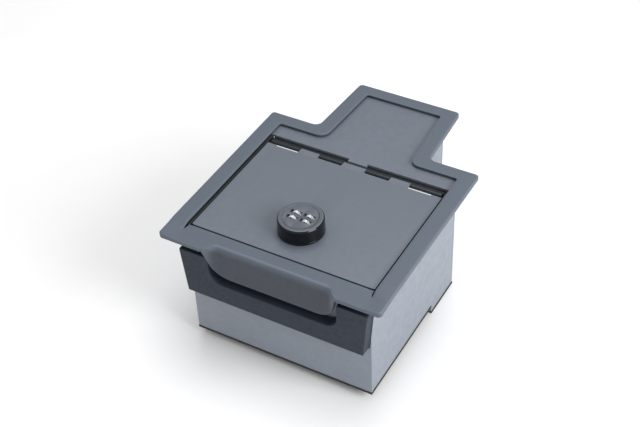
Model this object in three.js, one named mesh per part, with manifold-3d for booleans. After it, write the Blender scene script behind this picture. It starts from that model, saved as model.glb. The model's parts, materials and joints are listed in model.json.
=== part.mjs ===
// A strongbox for a vehicle's centre console: a steel box with a stepped floor and a shallow
// extension at the back, a T-shaped trim frame, a hinged lid and a knob lock with four dials.
// x runs left to right, y from the trim's front edge to the rear, z up from the trim's top face.
import * as THREE from "three";
import { mergeVertices } from "three/addons/utils/BufferGeometryUtils.js";
import Module from "manifold-3d";

const wasm = await Module();
wasm.setup();

// ---------- driving dimensions, millimetres ----------
const SEAT = 0.3; // gap left between two faces that touch
const ROUND_SIDES = 24;
const SCREW_SIDES = 12;
const ARC_STEPS = 6;

const TRIM_DEPTH = 226;
const TONGUE_REACH = 90;
const TONGUE_ROOT_WIDTH = 134;
const TONGUE_END_WIDTH = 124;
const TRIM_SHEET = 3.7;
const TRIM_SKIRT = 5;
const FRONT_SKIRT = 7.5; // the skirt is deeper across the front
const TRIM_SKIRT_WALL = 2.5;
const TRIM_CHAMFER = 1;
const BAND_DROP = 2.8; // how far the front band lies below the other bands
const BAND_SHEET = 3;
const TRIM_CORNER = 4;
const TONGUE_CORNER = 5;
const ROOT_CORNER = 8;
const SIDE_BAND = 18.2;
const FRONT_BAND = 26.2;
const REAR_BAND = 15.5;
const TONGUE_BAND = 16.5;
const TONGUE_END_BAND = 15;
const WINDOW_CORNER = 2.5;
const WINDOW_ROOT_CORNER = 12;

const SCOOP_HALF = 76; // half width of the finger scoop at the top
const SCOOP_FLARE = 14; // width of the curved end where it comes forward
const SCOOP_SETBACK = 9;
const SCOOP_WALL = 2.5;
const SCOOP_DEPTH = 43;
const SCOOP_CORNER = 16;
const SCOOP_SLANT = 10; // how much narrower each side is at the bottom
const SCOOP_LEVELS = 8;
const SCOOP_STEPS = 24;

const STEEL = 2.5; // walls and floors
const COVER_SHEET = 3; // lid, rear cover and rails
const BOX_WIDTH = 209;
const BOX_FRONT = 20;
const BOX_SHORT = 12; // from the trim's rear edge forward to the rear wall
const FLOOR_LEVEL = 142;
const WELL_DROP = 10;
const WELL_LENGTH = 54;
const FLOOR_LIP = 0.5; // the floor sheets stand this far out past the walls
const MAT = 3;
const MAT_GAP = 1;

const TONGUE_BOX_WIDTH = 100;
const TONGUE_BOX_SHORT = 16; // from the tongue's end forward to the end wall
const TONGUE_BOX_DEPTH = 87;

const WINDOW_MARGIN = 2.3; // from the side wall's face out to the trim's window
const SIDE_RAIL_DOWN = 23;
const RAIL_DOWN = 11;
const RAIL_FRONT = 12.3;

const LID_GAP = 3;
const LID_CORNER = 2;
const COVER_STRIP = 32.5; // from the trim's rear edge forward to the rear cover's front edge
const HINGE_GAP = 5.9; // from the barrel back to the rear cover
const NOTCH_GAP = 2.5; // from the barrel forward to the lid's notches
const INNER_NOTCH = [14, 42];
const OUTER_NOTCH_START = 66;
const BARREL_SHY = 0.5; // from the side wall in to the end of the barrel
const KNUCKLE_GAP = 0.4;
const PIN_RADIUS = 1.5;
const PIN_CLEARANCE = 0.08;
const LEAF_SHEET = 2;
const LEAF_LENGTH = 20.4;
const LEAF_SETBACK = 3.7; // clear of the lid's own knuckles
const COVER_TAB = 4.2;
const COVER_TAB_HALF = 11;

const RIB_SHEET = 2;
const RIB_FOOT = 10;
const RIB_INSET = 3.8; // from the lid's side edge in to the rib
const SIDE_RIB_DROP = 9;
const FRONT_RIB_DROP = 7;
const RIB_FRONT = 31;
const RIB_SHY = 12.6; // from the hinge forward to the side ribs

const KEEPER_HALF = 25;
const KEEPER_SHEET = 2;
const KEEPER_TOP = 10;
const KEEPER_LEG = 23.5;
const KEEPER_REACH = 15.2;

const BRACKET_OUT = 3; // from the side wall's face out to the bracket's upper end
const BRACKET_TAPER = 5.5; // how much narrower each side is at the bottom
const BRACKET_FRONT = 7.2;
const BRACKET_TOP = 21;
const BRACKET_BOTTOM = 77;
const TROUGH_HALF = 73;
const TROUGH_LEVEL = 53;
const TROUGH_CORNER = 14;
const BRACKET_CORNER = 1.5;

const LOCK_Y = 71;
const LOCK_BASE_RADIUS = 24.3;
const LOCK_BASE_SHEET = 2.5;
const NECK_RADIUS = 9.25; // the lock base's threaded neck
const NECK_DROP = 22;
const SPINDLE_RADIUS = 5;
const SPINDLE_CLEARANCE = 0.12;
const SPINDLE_SHOULDER = 24;
const TENON = 7;
const WASHER_RADIUS = 14;
const WASHER_SHEET = 1.5;
const NUT_ACROSS = 26;
const NUT_HEIGHT = 5;
const CAM_SHY = 9.5; // from the front wall's inner face to the locked cam's tip
const CAM_WIDTH = 14;
const CAM_SHEET = 3;
const CAM_SCREW_RADIUS = 6;
const CAM_SCREW_HEAD = 2.2;
const CAM_SHANK_RADIUS = 2;
const CAM_SHANK_LENGTH = 8;

const KNOB_FOOT_RADIUS = 24.3;
const KNOB_TOP_RADIUS = 24;
const KNOB_TOP = 14;
const KNOB_CHAMFER = 3;
const KNOB_FLOOR = 2.8;
const KNOB_BORE_RADIUS = 18.6;
const CAP_SHEET = 2;
const CAP_INSET = 0.6;
const DIAL_RADIUS = 6;
const DIAL_WIDTH = 3.4;
const DIAL_PROUD = 1.2;
const DIAL_X = 7.5;
const DIAL_Y = 4.1;
const DIAL_FLATS = 10;
const DIAL_GROOVE = 0.5;
const DIAL_WINDOW = [12.6, 4.4];
const AXLE_RADIUS = 1;
const AXLE_HALF = 8.9;
const AXLE_RIB_HALF = 15;
const AXLE_RIBS = [
  [-8.7, -6.7],
  [-1.6, 1.6],
  [6.7, 8.7],
];
const AXLE_RIB_DROP = 6.9;

const SCREW_SHANK = 1.8;
const SCREW_CLEARANCE = 0.3;
const SCREW_HEAD_RADIUS = 3.5;
const SCREW_HEAD_HEIGHT = 1.8;
const TRIM_SCREW_OUT = 9.5; // out from the side wall
const TRIM_SCREW_YS = [40, 110, 180];
const TRIM_SCREW_BITE = 2;
const HINGE_SCREW_BACK = 12.4; // back from the hinge pin
const BRACKET_SCREW_Z = -50;
const BRACKET_SCREW_BITE = 7;

// ---------- levels and edges that follow ----------
const TOP = -(TRIM_SHEET + SEAT); // top face of the lid, the rear cover and the rails
const UNDER = TOP - COVER_SHEET;
const WALL_TOP = UNDER - SEAT;
const BAND_UNDER = -(BAND_DROP + BAND_SHEET);
const FRONT_RAIL_TOP = BAND_UNDER - SEAT;
const FRONT_WALL_TOP = FRONT_RAIL_TOP - COVER_SHEET - SEAT;
const WALL_X = BOX_WIDTH / 2;
const INNER_X = WALL_X - STEEL;
const WINDOW_X = WALL_X + WINDOW_MARGIN;
const TRIM_X = WINDOW_X + SIDE_BAND;
const LID_X = WINDOW_X - LID_GAP;
const TRIM_REAR = TRIM_DEPTH + TONGUE_REACH;
const BOX_REAR = TRIM_DEPTH - BOX_SHORT;
const WELL_FRONT = BOX_REAR - WELL_LENGTH;
const TONGUE_BOX_REAR = TRIM_REAR - TONGUE_BOX_SHORT;
const KNUCKLE_RADIUS = COVER_SHEET;
const HINGE_Z = TOP - KNUCKLE_RADIUS;
const PIN_BORE = PIN_RADIUS + PIN_CLEARANCE;
const COVER_FRONT = TRIM_DEPTH - COVER_STRIP;
const HINGE_Y = COVER_FRONT - HINGE_GAP - KNUCKLE_RADIUS;
const LEAF_REAR = HINGE_Y + LEAF_LENGTH;
const RIB_REAR = HINGE_Y - RIB_SHY;
const BARREL_END = INNER_X - BARREL_SHY;
const NOTCH_Y = HINGE_Y - KNUCKLE_RADIUS - NOTCH_GAP;
const WELL_LEVEL = FLOOR_LEVEL + WELL_DROP;
const BOTTOM = WELL_LEVEL + SEAT + STEEL;
const TONGUE_X = TONGUE_BOX_WIDTH / 2;
const CAP_TOP = KNOB_TOP - CAP_INSET;
const DIAL_Z = CAP_TOP + DIAL_PROUD - DIAL_RADIUS;
const KNOB_BOTTOM = TOP + 2 * SEAT + LOCK_BASE_SHEET;
const CAM_LENGTH = LOCK_Y - BOX_FRONT - STEEL - CAM_SHY;
const BRACKET_HALF = WALL_X + BRACKET_OUT;
const BRACKET_SCREW_X = (BRACKET_HALF + TROUGH_HALF) / 2;
const TRIM_SCREW_X = WALL_X + TRIM_SCREW_OUT;
const HINGE_SCREW_Y = HINGE_Y + HINGE_SCREW_BACK;
const INNER_SCREW_X = (INNER_NOTCH[0] + INNER_NOTCH[1]) / 2;
const OUTER_SCREW_X = (OUTER_NOTCH_START + BARREL_END) / 2;
const HINGE_SCREW_XS = [-OUTER_SCREW_X, -INNER_SCREW_X, INNER_SCREW_X, OUTER_SCREW_X];
const FAR = 1000; // longer than anything it cuts

// ---------- solids ----------
function solidOf(geometry) {
  const bare = geometry.clone();
  bare.deleteAttribute("normal");
  bare.deleteAttribute("uv");
  const merged = mergeVertices(bare, 1e-4);
  const mesh = new wasm.Mesh({
    numProp: 3,
    vertProperties: new Float32Array(merged.attributes.position.array),
    triVerts: new Uint32Array(merged.index.array),
  });
  return new wasm.Manifold(mesh);
}

function geometryOf(solid) {
  const mesh = solid.getMesh();
  const geometry = new THREE.BufferGeometry();
  geometry.setAttribute("position", new THREE.BufferAttribute(mesh.vertProperties, 3));
  geometry.setIndex(new THREE.BufferAttribute(mesh.triVerts, 1));
  return geometry;
}

const unite = (solids) => solids.reduce((a, b) => a.add(b));
const cut = (solid, tools) => tools.reduce((a, b) => a.subtract(b), solid);

// An outline from corners [x, y, radius]; a corner with a radius is turned by an arc.
function outline(corners) {
  const points = [];
  corners.forEach(([x, y, radius = 0], i) => {
    const corner = new THREE.Vector2(x, y);
    if (radius === 0) {
      points.push(corner);
      return;
    }
    const [backX, backY] = corners[(i + corners.length - 1) % corners.length];
    const [nextX, nextY] = corners[(i + 1) % corners.length];
    const back = new THREE.Vector2(backX - x, backY - y).normalize();
    const next = new THREE.Vector2(nextX - x, nextY - y).normalize();
    const half = Math.acos(THREE.MathUtils.clamp(back.dot(next), -1, 1)) / 2;
    const centre = back.clone().add(next).setLength(radius / Math.sin(half)).add(corner);
    const reach = radius / Math.tan(half);
    const first = corner.clone().addScaledVector(back, reach).sub(centre).angle();
    const last = corner.clone().addScaledVector(next, reach).sub(centre).angle();
    const turn = THREE.MathUtils.euclideanModulo(last - first + Math.PI, 2 * Math.PI) - Math.PI;
    for (let k = 0; k <= ARC_STEPS; k++) {
      const angle = first + (turn * k) / ARC_STEPS;
      const spoke = new THREE.Vector2(Math.cos(angle), Math.sin(angle));
      points.push(spoke.multiplyScalar(radius).add(centre));
    }
  });
  return points;
}

const rectangle = (x0, y0, x1, y1, r = 0) =>
  outline([
    [x0, y0, r],
    [x1, y0, r],
    [x1, y1, r],
    [x0, y1, r],
  ]);

// Prisms of an outline: in x and y along z, in x and z along y, and in y and z along x.
function extruded(points, depth) {
  return new THREE.ExtrudeGeometry(new THREE.Shape(points), { depth, bevelEnabled: false });
}

function prismZ(points, low, high) {
  return solidOf(extruded(points, high - low).translate(0, 0, low));
}

function prismY(points, front, rear) {
  const geometry = extruded(points, rear - front).rotateX(Math.PI / 2);
  return solidOf(geometry.translate(0, rear, 0));
}

function prismX(points, left, right) {
  const turn = new THREE.Matrix4().makeBasis(
    new THREE.Vector3(0, 1, 0),
    new THREE.Vector3(0, 0, 1),
    new THREE.Vector3(1, 0, 0),
  );
  return solidOf(extruded(points, right - left).applyMatrix4(turn).translate(left, 0, 0));
}

const block = (x0, x1, y0, y1, z0, z1) => prismZ(rectangle(x0, y0, x1, y1), z0, z1);

// Round solids from a profile of [radius, height], standing on z or lying along x or y.
function turned(profile, sides) {
  const points = profile.map(([r, h]) => new THREE.Vector2(r, h));
  return new THREE.LatheGeometry(points, sides).rotateX(Math.PI / 2);
}

function cylinder(radius, low, high, sides = ROUND_SIDES) {
  const profile = [
    [0, low],
    [radius, low],
    [radius, high],
    [0, high],
  ];
  return turned(profile, sides);
}

const rodZ = (radius, x, y, z0, z1, sides) =>
  solidOf(cylinder(radius, z0, z1, sides).translate(x, y, 0));
const rodY = (radius, x, z, y0, y1, sides) =>
  solidOf(cylinder(radius, -y1, -y0, sides).rotateX(Math.PI / 2).translate(x, 0, z));
const rodX = (radius, y, z, x0, x1, sides) =>
  solidOf(cylinder(radius, x0, x1, sides).rotateY(Math.PI / 2).translate(0, y, z));

// A closed skin over rings of the same number of points, each ring flat at its own height.
function loft(rings) {
  const count = rings[0].points.length;
  const positions = rings.flatMap(({ points, z }) => points.flatMap((p) => [p.x, p.y, z]));
  const index = [];
  for (let r = 0; r + 1 < rings.length; r++) {
    for (let i = 0; i < count; i++) {
      const a = r * count + i;
      const b = r * count + ((i + 1) % count);
      index.push(a, b, b + count, a, b + count, a + count);
    }
  }
  const last = (rings.length - 1) * count;
  for (const [a, b, c] of THREE.ShapeUtils.triangulateShape(rings[0].points, [])) {
    index.push(a, c, b);
  }
  for (const [a, b, c] of THREE.ShapeUtils.triangulateShape(rings.at(-1).points, [])) {
    index.push(last + a, last + b, last + c);
  }
  const geometry = new THREE.BufferGeometry();
  geometry.setAttribute("position", new THREE.Float32BufferAttribute(positions, 3));
  geometry.setIndex(index);
  return solidOf(geometry);
}

// ---------- trim frame ----------
function trimOutline(inset) {
  const x = TRIM_X - inset;
  const rootX = TONGUE_ROOT_WIDTH / 2 - inset;
  const endX = TONGUE_END_WIDTH / 2 - inset;
  const rear = TRIM_DEPTH - inset;
  const end = TRIM_REAR - inset;
  const corner = Math.max(TRIM_CORNER - inset, 1);
  const endCorner = Math.max(TONGUE_CORNER - inset, 1);
  return outline([
    [-x, inset, corner],
    [x, inset, corner],
    [x, rear, corner],
    [rootX, rear, ROOT_CORNER + inset],
    [endX, end, endCorner],
    [-endX, end, endCorner],
    [-rootX, rear, ROOT_CORNER + inset],
    [-x, rear, corner],
  ]);
}

function trimWindow() {
  const rear = TRIM_DEPTH - REAR_BAND;
  const rootX = TONGUE_ROOT_WIDTH / 2 - TONGUE_BAND;
  const endX = TONGUE_END_WIDTH / 2 - TONGUE_BAND;
  const end = TRIM_REAR - TONGUE_END_BAND;
  return outline([
    [-WINDOW_X, FRONT_BAND, WINDOW_CORNER],
    [WINDOW_X, FRONT_BAND, WINDOW_CORNER],
    [WINDOW_X, rear, WINDOW_CORNER],
    [rootX, rear, WINDOW_ROOT_CORNER],
    [endX, end, WINDOW_CORNER],
    [-endX, end, WINDOW_CORNER],
    [-rootX, rear, WINDOW_ROOT_CORNER],
    [-WINDOW_X, rear, WINDOW_CORNER],
  ]);
}

// How far back the scoop's face is at x, where it is halfWidth wide and flared by flare, 0 to 1.
function scoopFace(x, halfWidth, flare) {
  const along = THREE.MathUtils.smoothstep(Math.abs(x), halfWidth - SCOOP_FLARE, halfWidth);
  return SCOOP_SETBACK * (1 - along * flare);
}

function scoopEdge(halfWidth, flare) {
  return Array.from({ length: SCOOP_STEPS + 1 }, (_, i) => {
    const side = (2 * i) / SCOOP_STEPS - 1;
    const x = halfWidth * Math.sin((side * Math.PI) / 2); // steps close up towards the ends
    return new THREE.Vector2(x, scoopFace(x, halfWidth, flare));
  });
}

// The scoop's back wall, from inside the trim's sheet down to its rounded bottom corners.
function scoopWall() {
  const top = BAND_DROP + SEAT;
  const rings = [];
  for (let level = SCOOP_LEVELS; level >= 0; level--) {
    const down = level / SCOOP_LEVELS;
    const depth = top + (SCOOP_DEPTH - top) * Math.sin((down * Math.PI) / 2);
    const share = (depth - top) / (SCOOP_DEPTH - top);
    const overhang = Math.max(0, SCOOP_CORNER - (SCOOP_DEPTH - depth));
    const rounding = SCOOP_CORNER - Math.sqrt(SCOOP_CORNER ** 2 - overhang ** 2);
    const halfWidth = SCOOP_HALF - SCOOP_SLANT * share - rounding;
    const points = scoopEdge(halfWidth, 1 - share);
    points.push(new THREE.Vector2(halfWidth, SCOOP_SETBACK + SCOOP_WALL));
    points.push(new THREE.Vector2(-halfWidth, SCOOP_SETBACK + SCOOP_WALL));
    rings.push({ points, z: -depth });
  }
  return loft(rings);
}

function scoopNotch() {
  const points = scoopEdge(SCOOP_HALF, 1);
  points.push(new THREE.Vector2(SCOOP_HALF, -1), new THREE.Vector2(-SCOOP_HALF, -1));
  return prismZ(points.reverse(), -FRONT_SKIRT - 1, 1);
}

const trimScrewPlaces = [-TRIM_SCREW_X, TRIM_SCREW_X].flatMap((x) =>
  TRIM_SCREW_YS.map((y) => [x, y]),
);

function trimFrame() {
  const skirt = prismZ(trimOutline(0), -FRONT_SKIRT, -TRIM_CHAMFER);
  const crown = loft([
    { points: trimOutline(0), z: -TRIM_CHAMFER },
    { points: trimOutline(TRIM_CHAMFER), z: 0 },
  ]);
  const band = block(-WINDOW_X, WINDOW_X, 0, FRONT_BAND, BAND_UNDER, 0);
  const hollow = prismZ(trimOutline(TRIM_SKIRT_WALL), -FRONT_SKIRT - 1, -TRIM_SHEET).subtract(band);
  const window = prismZ(trimWindow(), -FAR, 1);
  const drop = block(-WINDOW_X, WINDOW_X, -1, FRONT_BAND, -BAND_DROP, 1);
  const slope = outline([
    [-1, -BAND_DROP * (1 + 1 / FRONT_BAND)],
    [FRONT_BAND, 0],
    [FRONT_BAND, 1],
    [-1, 1],
  ]);
  const rise = outline([
    [-1, -FRONT_SKIRT - 1],
    [FAR, -FRONT_SKIRT - 1],
    [FAR, -TRIM_SKIRT],
    [FRONT_BAND, -TRIM_SKIRT],
    [-1, -FRONT_SKIRT],
  ]);
  const wedges = [prismX(slope, -FAR, FAR), prismX(rise, -FAR, FAR)];
  const holes = trimScrewPlaces.map(([x, y]) =>
    rodZ(SCREW_SHANK + SCREW_CLEARANCE, x, y, -FAR, SEAT - TRIM_SHEET + TRIM_SCREW_BITE, SCREW_SIDES),
  );
  const tools = [hollow, window, drop, ...wedges, scoopNotch(), ...holes];
  return cut(skirt.add(crown), tools).add(scoopWall());
}

// ---------- covers and rails welded on top of the box ----------
function rearCover() {
  const inset = TRIM_SKIRT_WALL + SEAT;
  const x = TRIM_X - inset;
  const rootX = TONGUE_ROOT_WIDTH / 2 - inset;
  const endX = TONGUE_END_WIDTH / 2 - inset;
  const rear = TRIM_DEPTH - inset;
  const end = TRIM_REAR - inset;
  const sheet = outline([
    [-x, COVER_FRONT],
    [-COVER_TAB_HALF, COVER_FRONT],
    [-COVER_TAB_HALF, COVER_FRONT - COVER_TAB],
    [COVER_TAB_HALF, COVER_FRONT - COVER_TAB],
    [COVER_TAB_HALF, COVER_FRONT],
    [x, COVER_FRONT],
    [x, rear, TRIM_CORNER],
    [rootX, rear],
    [endX, end, TONGUE_CORNER],
    [-endX, end, TONGUE_CORNER],
    [-rootX, rear],
    [-x, rear, TRIM_CORNER],
  ]);
  const holes = HINGE_SCREW_XS.map((x) =>
    rodZ(SCREW_SHANK + SCREW_CLEARANCE, x, HINGE_SCREW_Y, -FAR, UNDER + TRIM_SCREW_BITE, SCREW_SIDES),
  );
  return cut(prismZ(sheet, UNDER, TOP), holes);
}

// An angle along each side wall: its foot lies under the trim, its leg is on the wall.
function sideRail(side) {
  const inner = WALL_X + SEAT;
  const outer = TRIM_X - TRIM_SKIRT_WALL - SEAT;
  const front = FRONT_BAND + SEAT;
  const rear = COVER_FRONT - SEAT;
  const bottom = UNDER - SIDE_RAIL_DOWN;
  const order = (a, b) => (side > 0 ? [a, b] : [-b, -a]);
  const foot = block(...order(inner, outer), front, rear, UNDER, TOP);
  const leg = block(...order(inner, inner + STEEL), front, rear, bottom, TOP);
  const lowLeg = block(...order(inner, inner + STEEL), BOX_FRONT, rear, bottom, FRONT_RAIL_TOP);
  const holes = TRIM_SCREW_YS.map((y) =>
    rodZ(SCREW_SHANK + SCREW_CLEARANCE, side * TRIM_SCREW_X, y, -FAR, FAR, SCREW_SIDES),
  );
  return cut(unite([foot, leg, lowLeg]), holes);
}

// An angle on the front wall's top, under the trim's lower front band.
function frontRail() {
  const under = FRONT_RAIL_TOP - COVER_SHEET;
  const foot = block(-WALL_X, WALL_X, RAIL_FRONT, BOX_FRONT + STEEL, under, FRONT_RAIL_TOP);
  const rear = BOX_FRONT - SEAT;
  return foot.add(block(-WALL_X, WALL_X, rear - STEEL, rear, under - RAIL_DOWN, FRONT_RAIL_TOP));
}

// ---------- box ----------
function frontWall() {
  const rear = BOX_FRONT + STEEL;
  const sheet = block(-WALL_X, WALL_X, BOX_FRONT, rear, -FLOOR_LEVEL, FRONT_WALL_TOP);
  return cut(sheet, bracketScrewHoles());
}

function sideWall(side) {
  const front = BOX_FRONT + STEEL + SEAT;
  const rear = BOX_REAR - STEEL - SEAT;
  const step = WELL_FRONT + SEAT;
  const sheet = outline([
    [front, -FLOOR_LEVEL],
    [step, -FLOOR_LEVEL],
    [step, -WELL_LEVEL],
    [rear, -WELL_LEVEL],
    [rear, WALL_TOP],
    [front, WALL_TOP],
  ]);
  return side > 0 ? prismX(sheet, INNER_X, WALL_X) : prismX(sheet, -WALL_X, -INNER_X);
}

function rearWall() {
  const sheet = block(-WALL_X, WALL_X, BOX_REAR - STEEL, BOX_REAR, -WELL_LEVEL, WALL_TOP);
  const mouthX = TONGUE_X + SEAT;
  const mouthBottom = -(TONGUE_BOX_DEPTH + STEEL + 2 * SEAT);
  return sheet.subtract(block(-mouthX, mouthX, 0, FAR, mouthBottom, 0));
}

function tongueWall(side) {
  const x0 = side > 0 ? TONGUE_X - STEEL : -TONGUE_X;
  const rear = TONGUE_BOX_REAR - STEEL - SEAT;
  return block(x0, x0 + STEEL, BOX_REAR - STEEL, rear, -TONGUE_BOX_DEPTH, WALL_TOP);
}

const tongueEndWall = () =>
  block(-TONGUE_X, TONGUE_X, TONGUE_BOX_REAR - STEEL, TONGUE_BOX_REAR, -TONGUE_BOX_DEPTH, WALL_TOP);

function tongueFloor() {
  const top = -(TONGUE_BOX_DEPTH + SEAT);
  return block(-TONGUE_X, TONGUE_X, BOX_REAR - STEEL, TONGUE_BOX_REAR, top - STEEL, top);
}

function floorFront() {
  const top = -(FLOOR_LEVEL + SEAT);
  const x = WALL_X + FLOOR_LIP;
  return block(-x, x, BOX_FRONT - FLOOR_LIP, WELL_FRONT, top - STEEL, top);
}

function floorRiser() {
  const x = INNER_X - SEAT;
  const front = WELL_FRONT + SEAT;
  return block(-x, x, front, front + STEEL, -WELL_LEVEL, -(FLOOR_LEVEL + SEAT));
}

function floorRear() {
  const top = -(WELL_LEVEL + SEAT);
  const x = WALL_X + FLOOR_LIP;
  return block(-x, x, WELL_FRONT + SEAT, BOX_REAR + FLOOR_LIP, top - STEEL, top);
}

// A foam mat lying on a floor whose top face is at level.
function mat(halfWidth, front, rear, level) {
  const sheet = rectangle(-halfWidth, front, halfWidth, rear, 4);
  return prismZ(sheet, level + SEAT, level + SEAT + MAT);
}

const mainMat = () =>
  mat(INNER_X - MAT_GAP, BOX_FRONT + STEEL + MAT_GAP, WELL_FRONT - MAT_GAP, -(FLOOR_LEVEL + SEAT));

function wellMat() {
  const front = WELL_FRONT + SEAT + STEEL + MAT_GAP;
  return mat(INNER_X - MAT_GAP, front, BOX_REAR - STEEL - MAT_GAP, -(WELL_LEVEL + SEAT));
}

function tongueMat() {
  const halfWidth = TONGUE_X - STEEL - MAT_GAP;
  const rear = TONGUE_BOX_REAR - STEEL - MAT_GAP;
  return mat(halfWidth, BOX_REAR - STEEL, rear, -(TONGUE_BOX_DEPTH + SEAT));
}

// The angle inside the front wall that the lock's cam turns under.
function latchKeeper() {
  const front = BOX_FRONT + STEEL + SEAT;
  const upright = block(-KEEPER_HALF, KEEPER_HALF, front, front + KEEPER_SHEET, -KEEPER_LEG, -KEEPER_TOP);
  const rear = front + KEEPER_REACH;
  const ledge = [-KEEPER_LEG, -KEEPER_LEG + KEEPER_SHEET];
  return upright.add(block(-KEEPER_HALF, KEEPER_HALF, front, rear, ...ledge));
}

// ---------- front bracket ----------
const bracketScrewHoles = () =>
  [-BRACKET_SCREW_X, BRACKET_SCREW_X].map((x) =>
    rodY(
      SCREW_SHANK + SCREW_CLEARANCE,
      x,
      BRACKET_SCREW_Z,
      BOX_FRONT - SEAT - BRACKET_SCREW_BITE - SEAT,
      FAR,
      SCREW_SIDES,
    ),
  );

function frontBracket() {
  const lowerHalf = BRACKET_HALF - BRACKET_TAPER;
  const sheet = outline([
    [-lowerHalf, -BRACKET_BOTTOM, BRACKET_CORNER],
    [lowerHalf, -BRACKET_BOTTOM, BRACKET_CORNER],
    [BRACKET_HALF, -BRACKET_TOP, BRACKET_CORNER],
    [TROUGH_HALF, -BRACKET_TOP, BRACKET_CORNER],
    [TROUGH_HALF, -TROUGH_LEVEL, TROUGH_CORNER],
    [-TROUGH_HALF, -TROUGH_LEVEL, TROUGH_CORNER],
    [-TROUGH_HALF, -BRACKET_TOP, BRACKET_CORNER],
    [-BRACKET_HALF, -BRACKET_TOP, BRACKET_CORNER],
  ]);
  return cut(prismY(sheet, BRACKET_FRONT, BOX_FRONT - SEAT), bracketScrewHoles());
}

// ---------- screws ----------
// A pan-head screw about the z axis, its head's seating face at 0 and its shank up to length.
function screwGeometry(length) {
  const profile = [
    [0, -SCREW_HEAD_HEIGHT],
    [SCREW_HEAD_RADIUS - 1, -SCREW_HEAD_HEIGHT],
    [SCREW_HEAD_RADIUS, -SCREW_HEAD_HEIGHT + 1],
    [SCREW_HEAD_RADIUS, 0],
    [SCREW_SHANK, 0],
    [SCREW_SHANK, length],
    [0, length],
  ];
  return turned(profile, SCREW_SIDES);
}

// ---------- hinge ----------
const knuckleSpans = {
  body: [
    [-BARREL_END, -OUTER_NOTCH_START - KNUCKLE_GAP],
    [-INNER_NOTCH[1] + KNUCKLE_GAP, -INNER_NOTCH[0] - KNUCKLE_GAP],
    [INNER_NOTCH[0] + KNUCKLE_GAP, INNER_NOTCH[1] - KNUCKLE_GAP],
    [OUTER_NOTCH_START + KNUCKLE_GAP, BARREL_END],
  ],
  lid: [
    [-OUTER_NOTCH_START, -INNER_NOTCH[1]],
    [-INNER_NOTCH[0], INNER_NOTCH[0]],
    [INNER_NOTCH[1], OUTER_NOTCH_START],
  ],
};

const knuckle = ([x0, x1]) => rodX(KNUCKLE_RADIUS, HINGE_Y, HINGE_Z, x0, x1, ROUND_SIDES);
const pinBore = () => rodX(PIN_BORE, HINGE_Y, HINGE_Z, -FAR, FAR, ROUND_SIDES);

function hingeLeaf() {
  const bottom = WALL_TOP - LEAF_SHEET;
  const front = HINGE_Y + LEAF_SETBACK;
  const plate = block(-BARREL_END, BARREL_END, front, LEAF_REAR, bottom, WALL_TOP);
  const arms = knuckleSpans.body.map(([x0, x1]) =>
    block(x0, x1, HINGE_Y + PIN_BORE, front + 1, bottom, WALL_TOP),
  );
  const barrels = knuckleSpans.body.map(knuckle);
  const holes = HINGE_SCREW_XS.map((x) =>
    rodZ(SCREW_SHANK + SCREW_CLEARANCE, x, HINGE_SCREW_Y, -FAR, FAR, SCREW_SIDES),
  );
  return cut(unite([plate, ...arms, ...barrels]), [pinBore(), ...holes]);
}

const hingePin = () =>
  rodX(PIN_RADIUS, HINGE_Y, HINGE_Z, -BARREL_END + SEAT, BARREL_END - SEAT, ROUND_SIDES);

// ---------- lid ----------
function lidPlate() {
  const front = FRONT_BAND + LID_GAP;
  const sheet = outline([
    [-LID_X, front, LID_CORNER],
    [LID_X, front, LID_CORNER],
    [LID_X, HINGE_Y],
    [-LID_X, HINGE_Y],
  ]);
  const plate = prismZ(sheet, UNDER, TOP);
  const rear = HINGE_Y + 1;
  const notches = [
    block(-FAR, -OUTER_NOTCH_START, NOTCH_Y, rear, -FAR, FAR),
    block(-INNER_NOTCH[1], -INNER_NOTCH[0], NOTCH_Y, rear, -FAR, FAR),
    block(INNER_NOTCH[0], INNER_NOTCH[1], NOTCH_Y, rear, -FAR, FAR),
    block(OUTER_NOTCH_START, FAR, NOTCH_Y, rear, -FAR, FAR),
  ];
  const barrels = knuckleSpans.lid.map(([x0, x1]) => knuckle([x0 + KNUCKLE_GAP, x1 - KNUCKLE_GAP]));
  const lockHole = rodZ(NECK_RADIUS + SEAT, 0, LOCK_Y, -FAR, FAR, ROUND_SIDES);
  return cut(unite([cut(plate, notches), ...barrels]), [pinBore(), lockHole]);
}

function sideRib(side) {
  const outer = LID_X - RIB_INSET;
  const foot = outline([
    [outer - RIB_FOOT, WALL_TOP - RIB_SHEET],
    [outer - RIB_SHEET, WALL_TOP - RIB_SHEET],
    [outer - RIB_SHEET, WALL_TOP - SIDE_RIB_DROP],
    [outer, WALL_TOP - SIDE_RIB_DROP],
    [outer, WALL_TOP],
    [outer - RIB_FOOT, WALL_TOP],
  ]);
  const points = side > 0 ? foot : foot.map((p) => new THREE.Vector2(-p.x, p.y)).reverse();
  return prismY(points, RIB_FRONT + RIB_FOOT + SEAT, RIB_REAR);
}

function frontRib() {
  const foot = outline([
    [RIB_FRONT, WALL_TOP - FRONT_RIB_DROP],
    [RIB_FRONT + RIB_SHEET, WALL_TOP - FRONT_RIB_DROP],
    [RIB_FRONT + RIB_SHEET, WALL_TOP - RIB_SHEET],
    [RIB_FRONT + RIB_FOOT, WALL_TOP - RIB_SHEET],
    [RIB_FRONT + RIB_FOOT, WALL_TOP],
    [RIB_FRONT, WALL_TOP],
  ]);
  const half = LID_X - RIB_INSET;
  return prismX(foot, -half, half);
}

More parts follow.
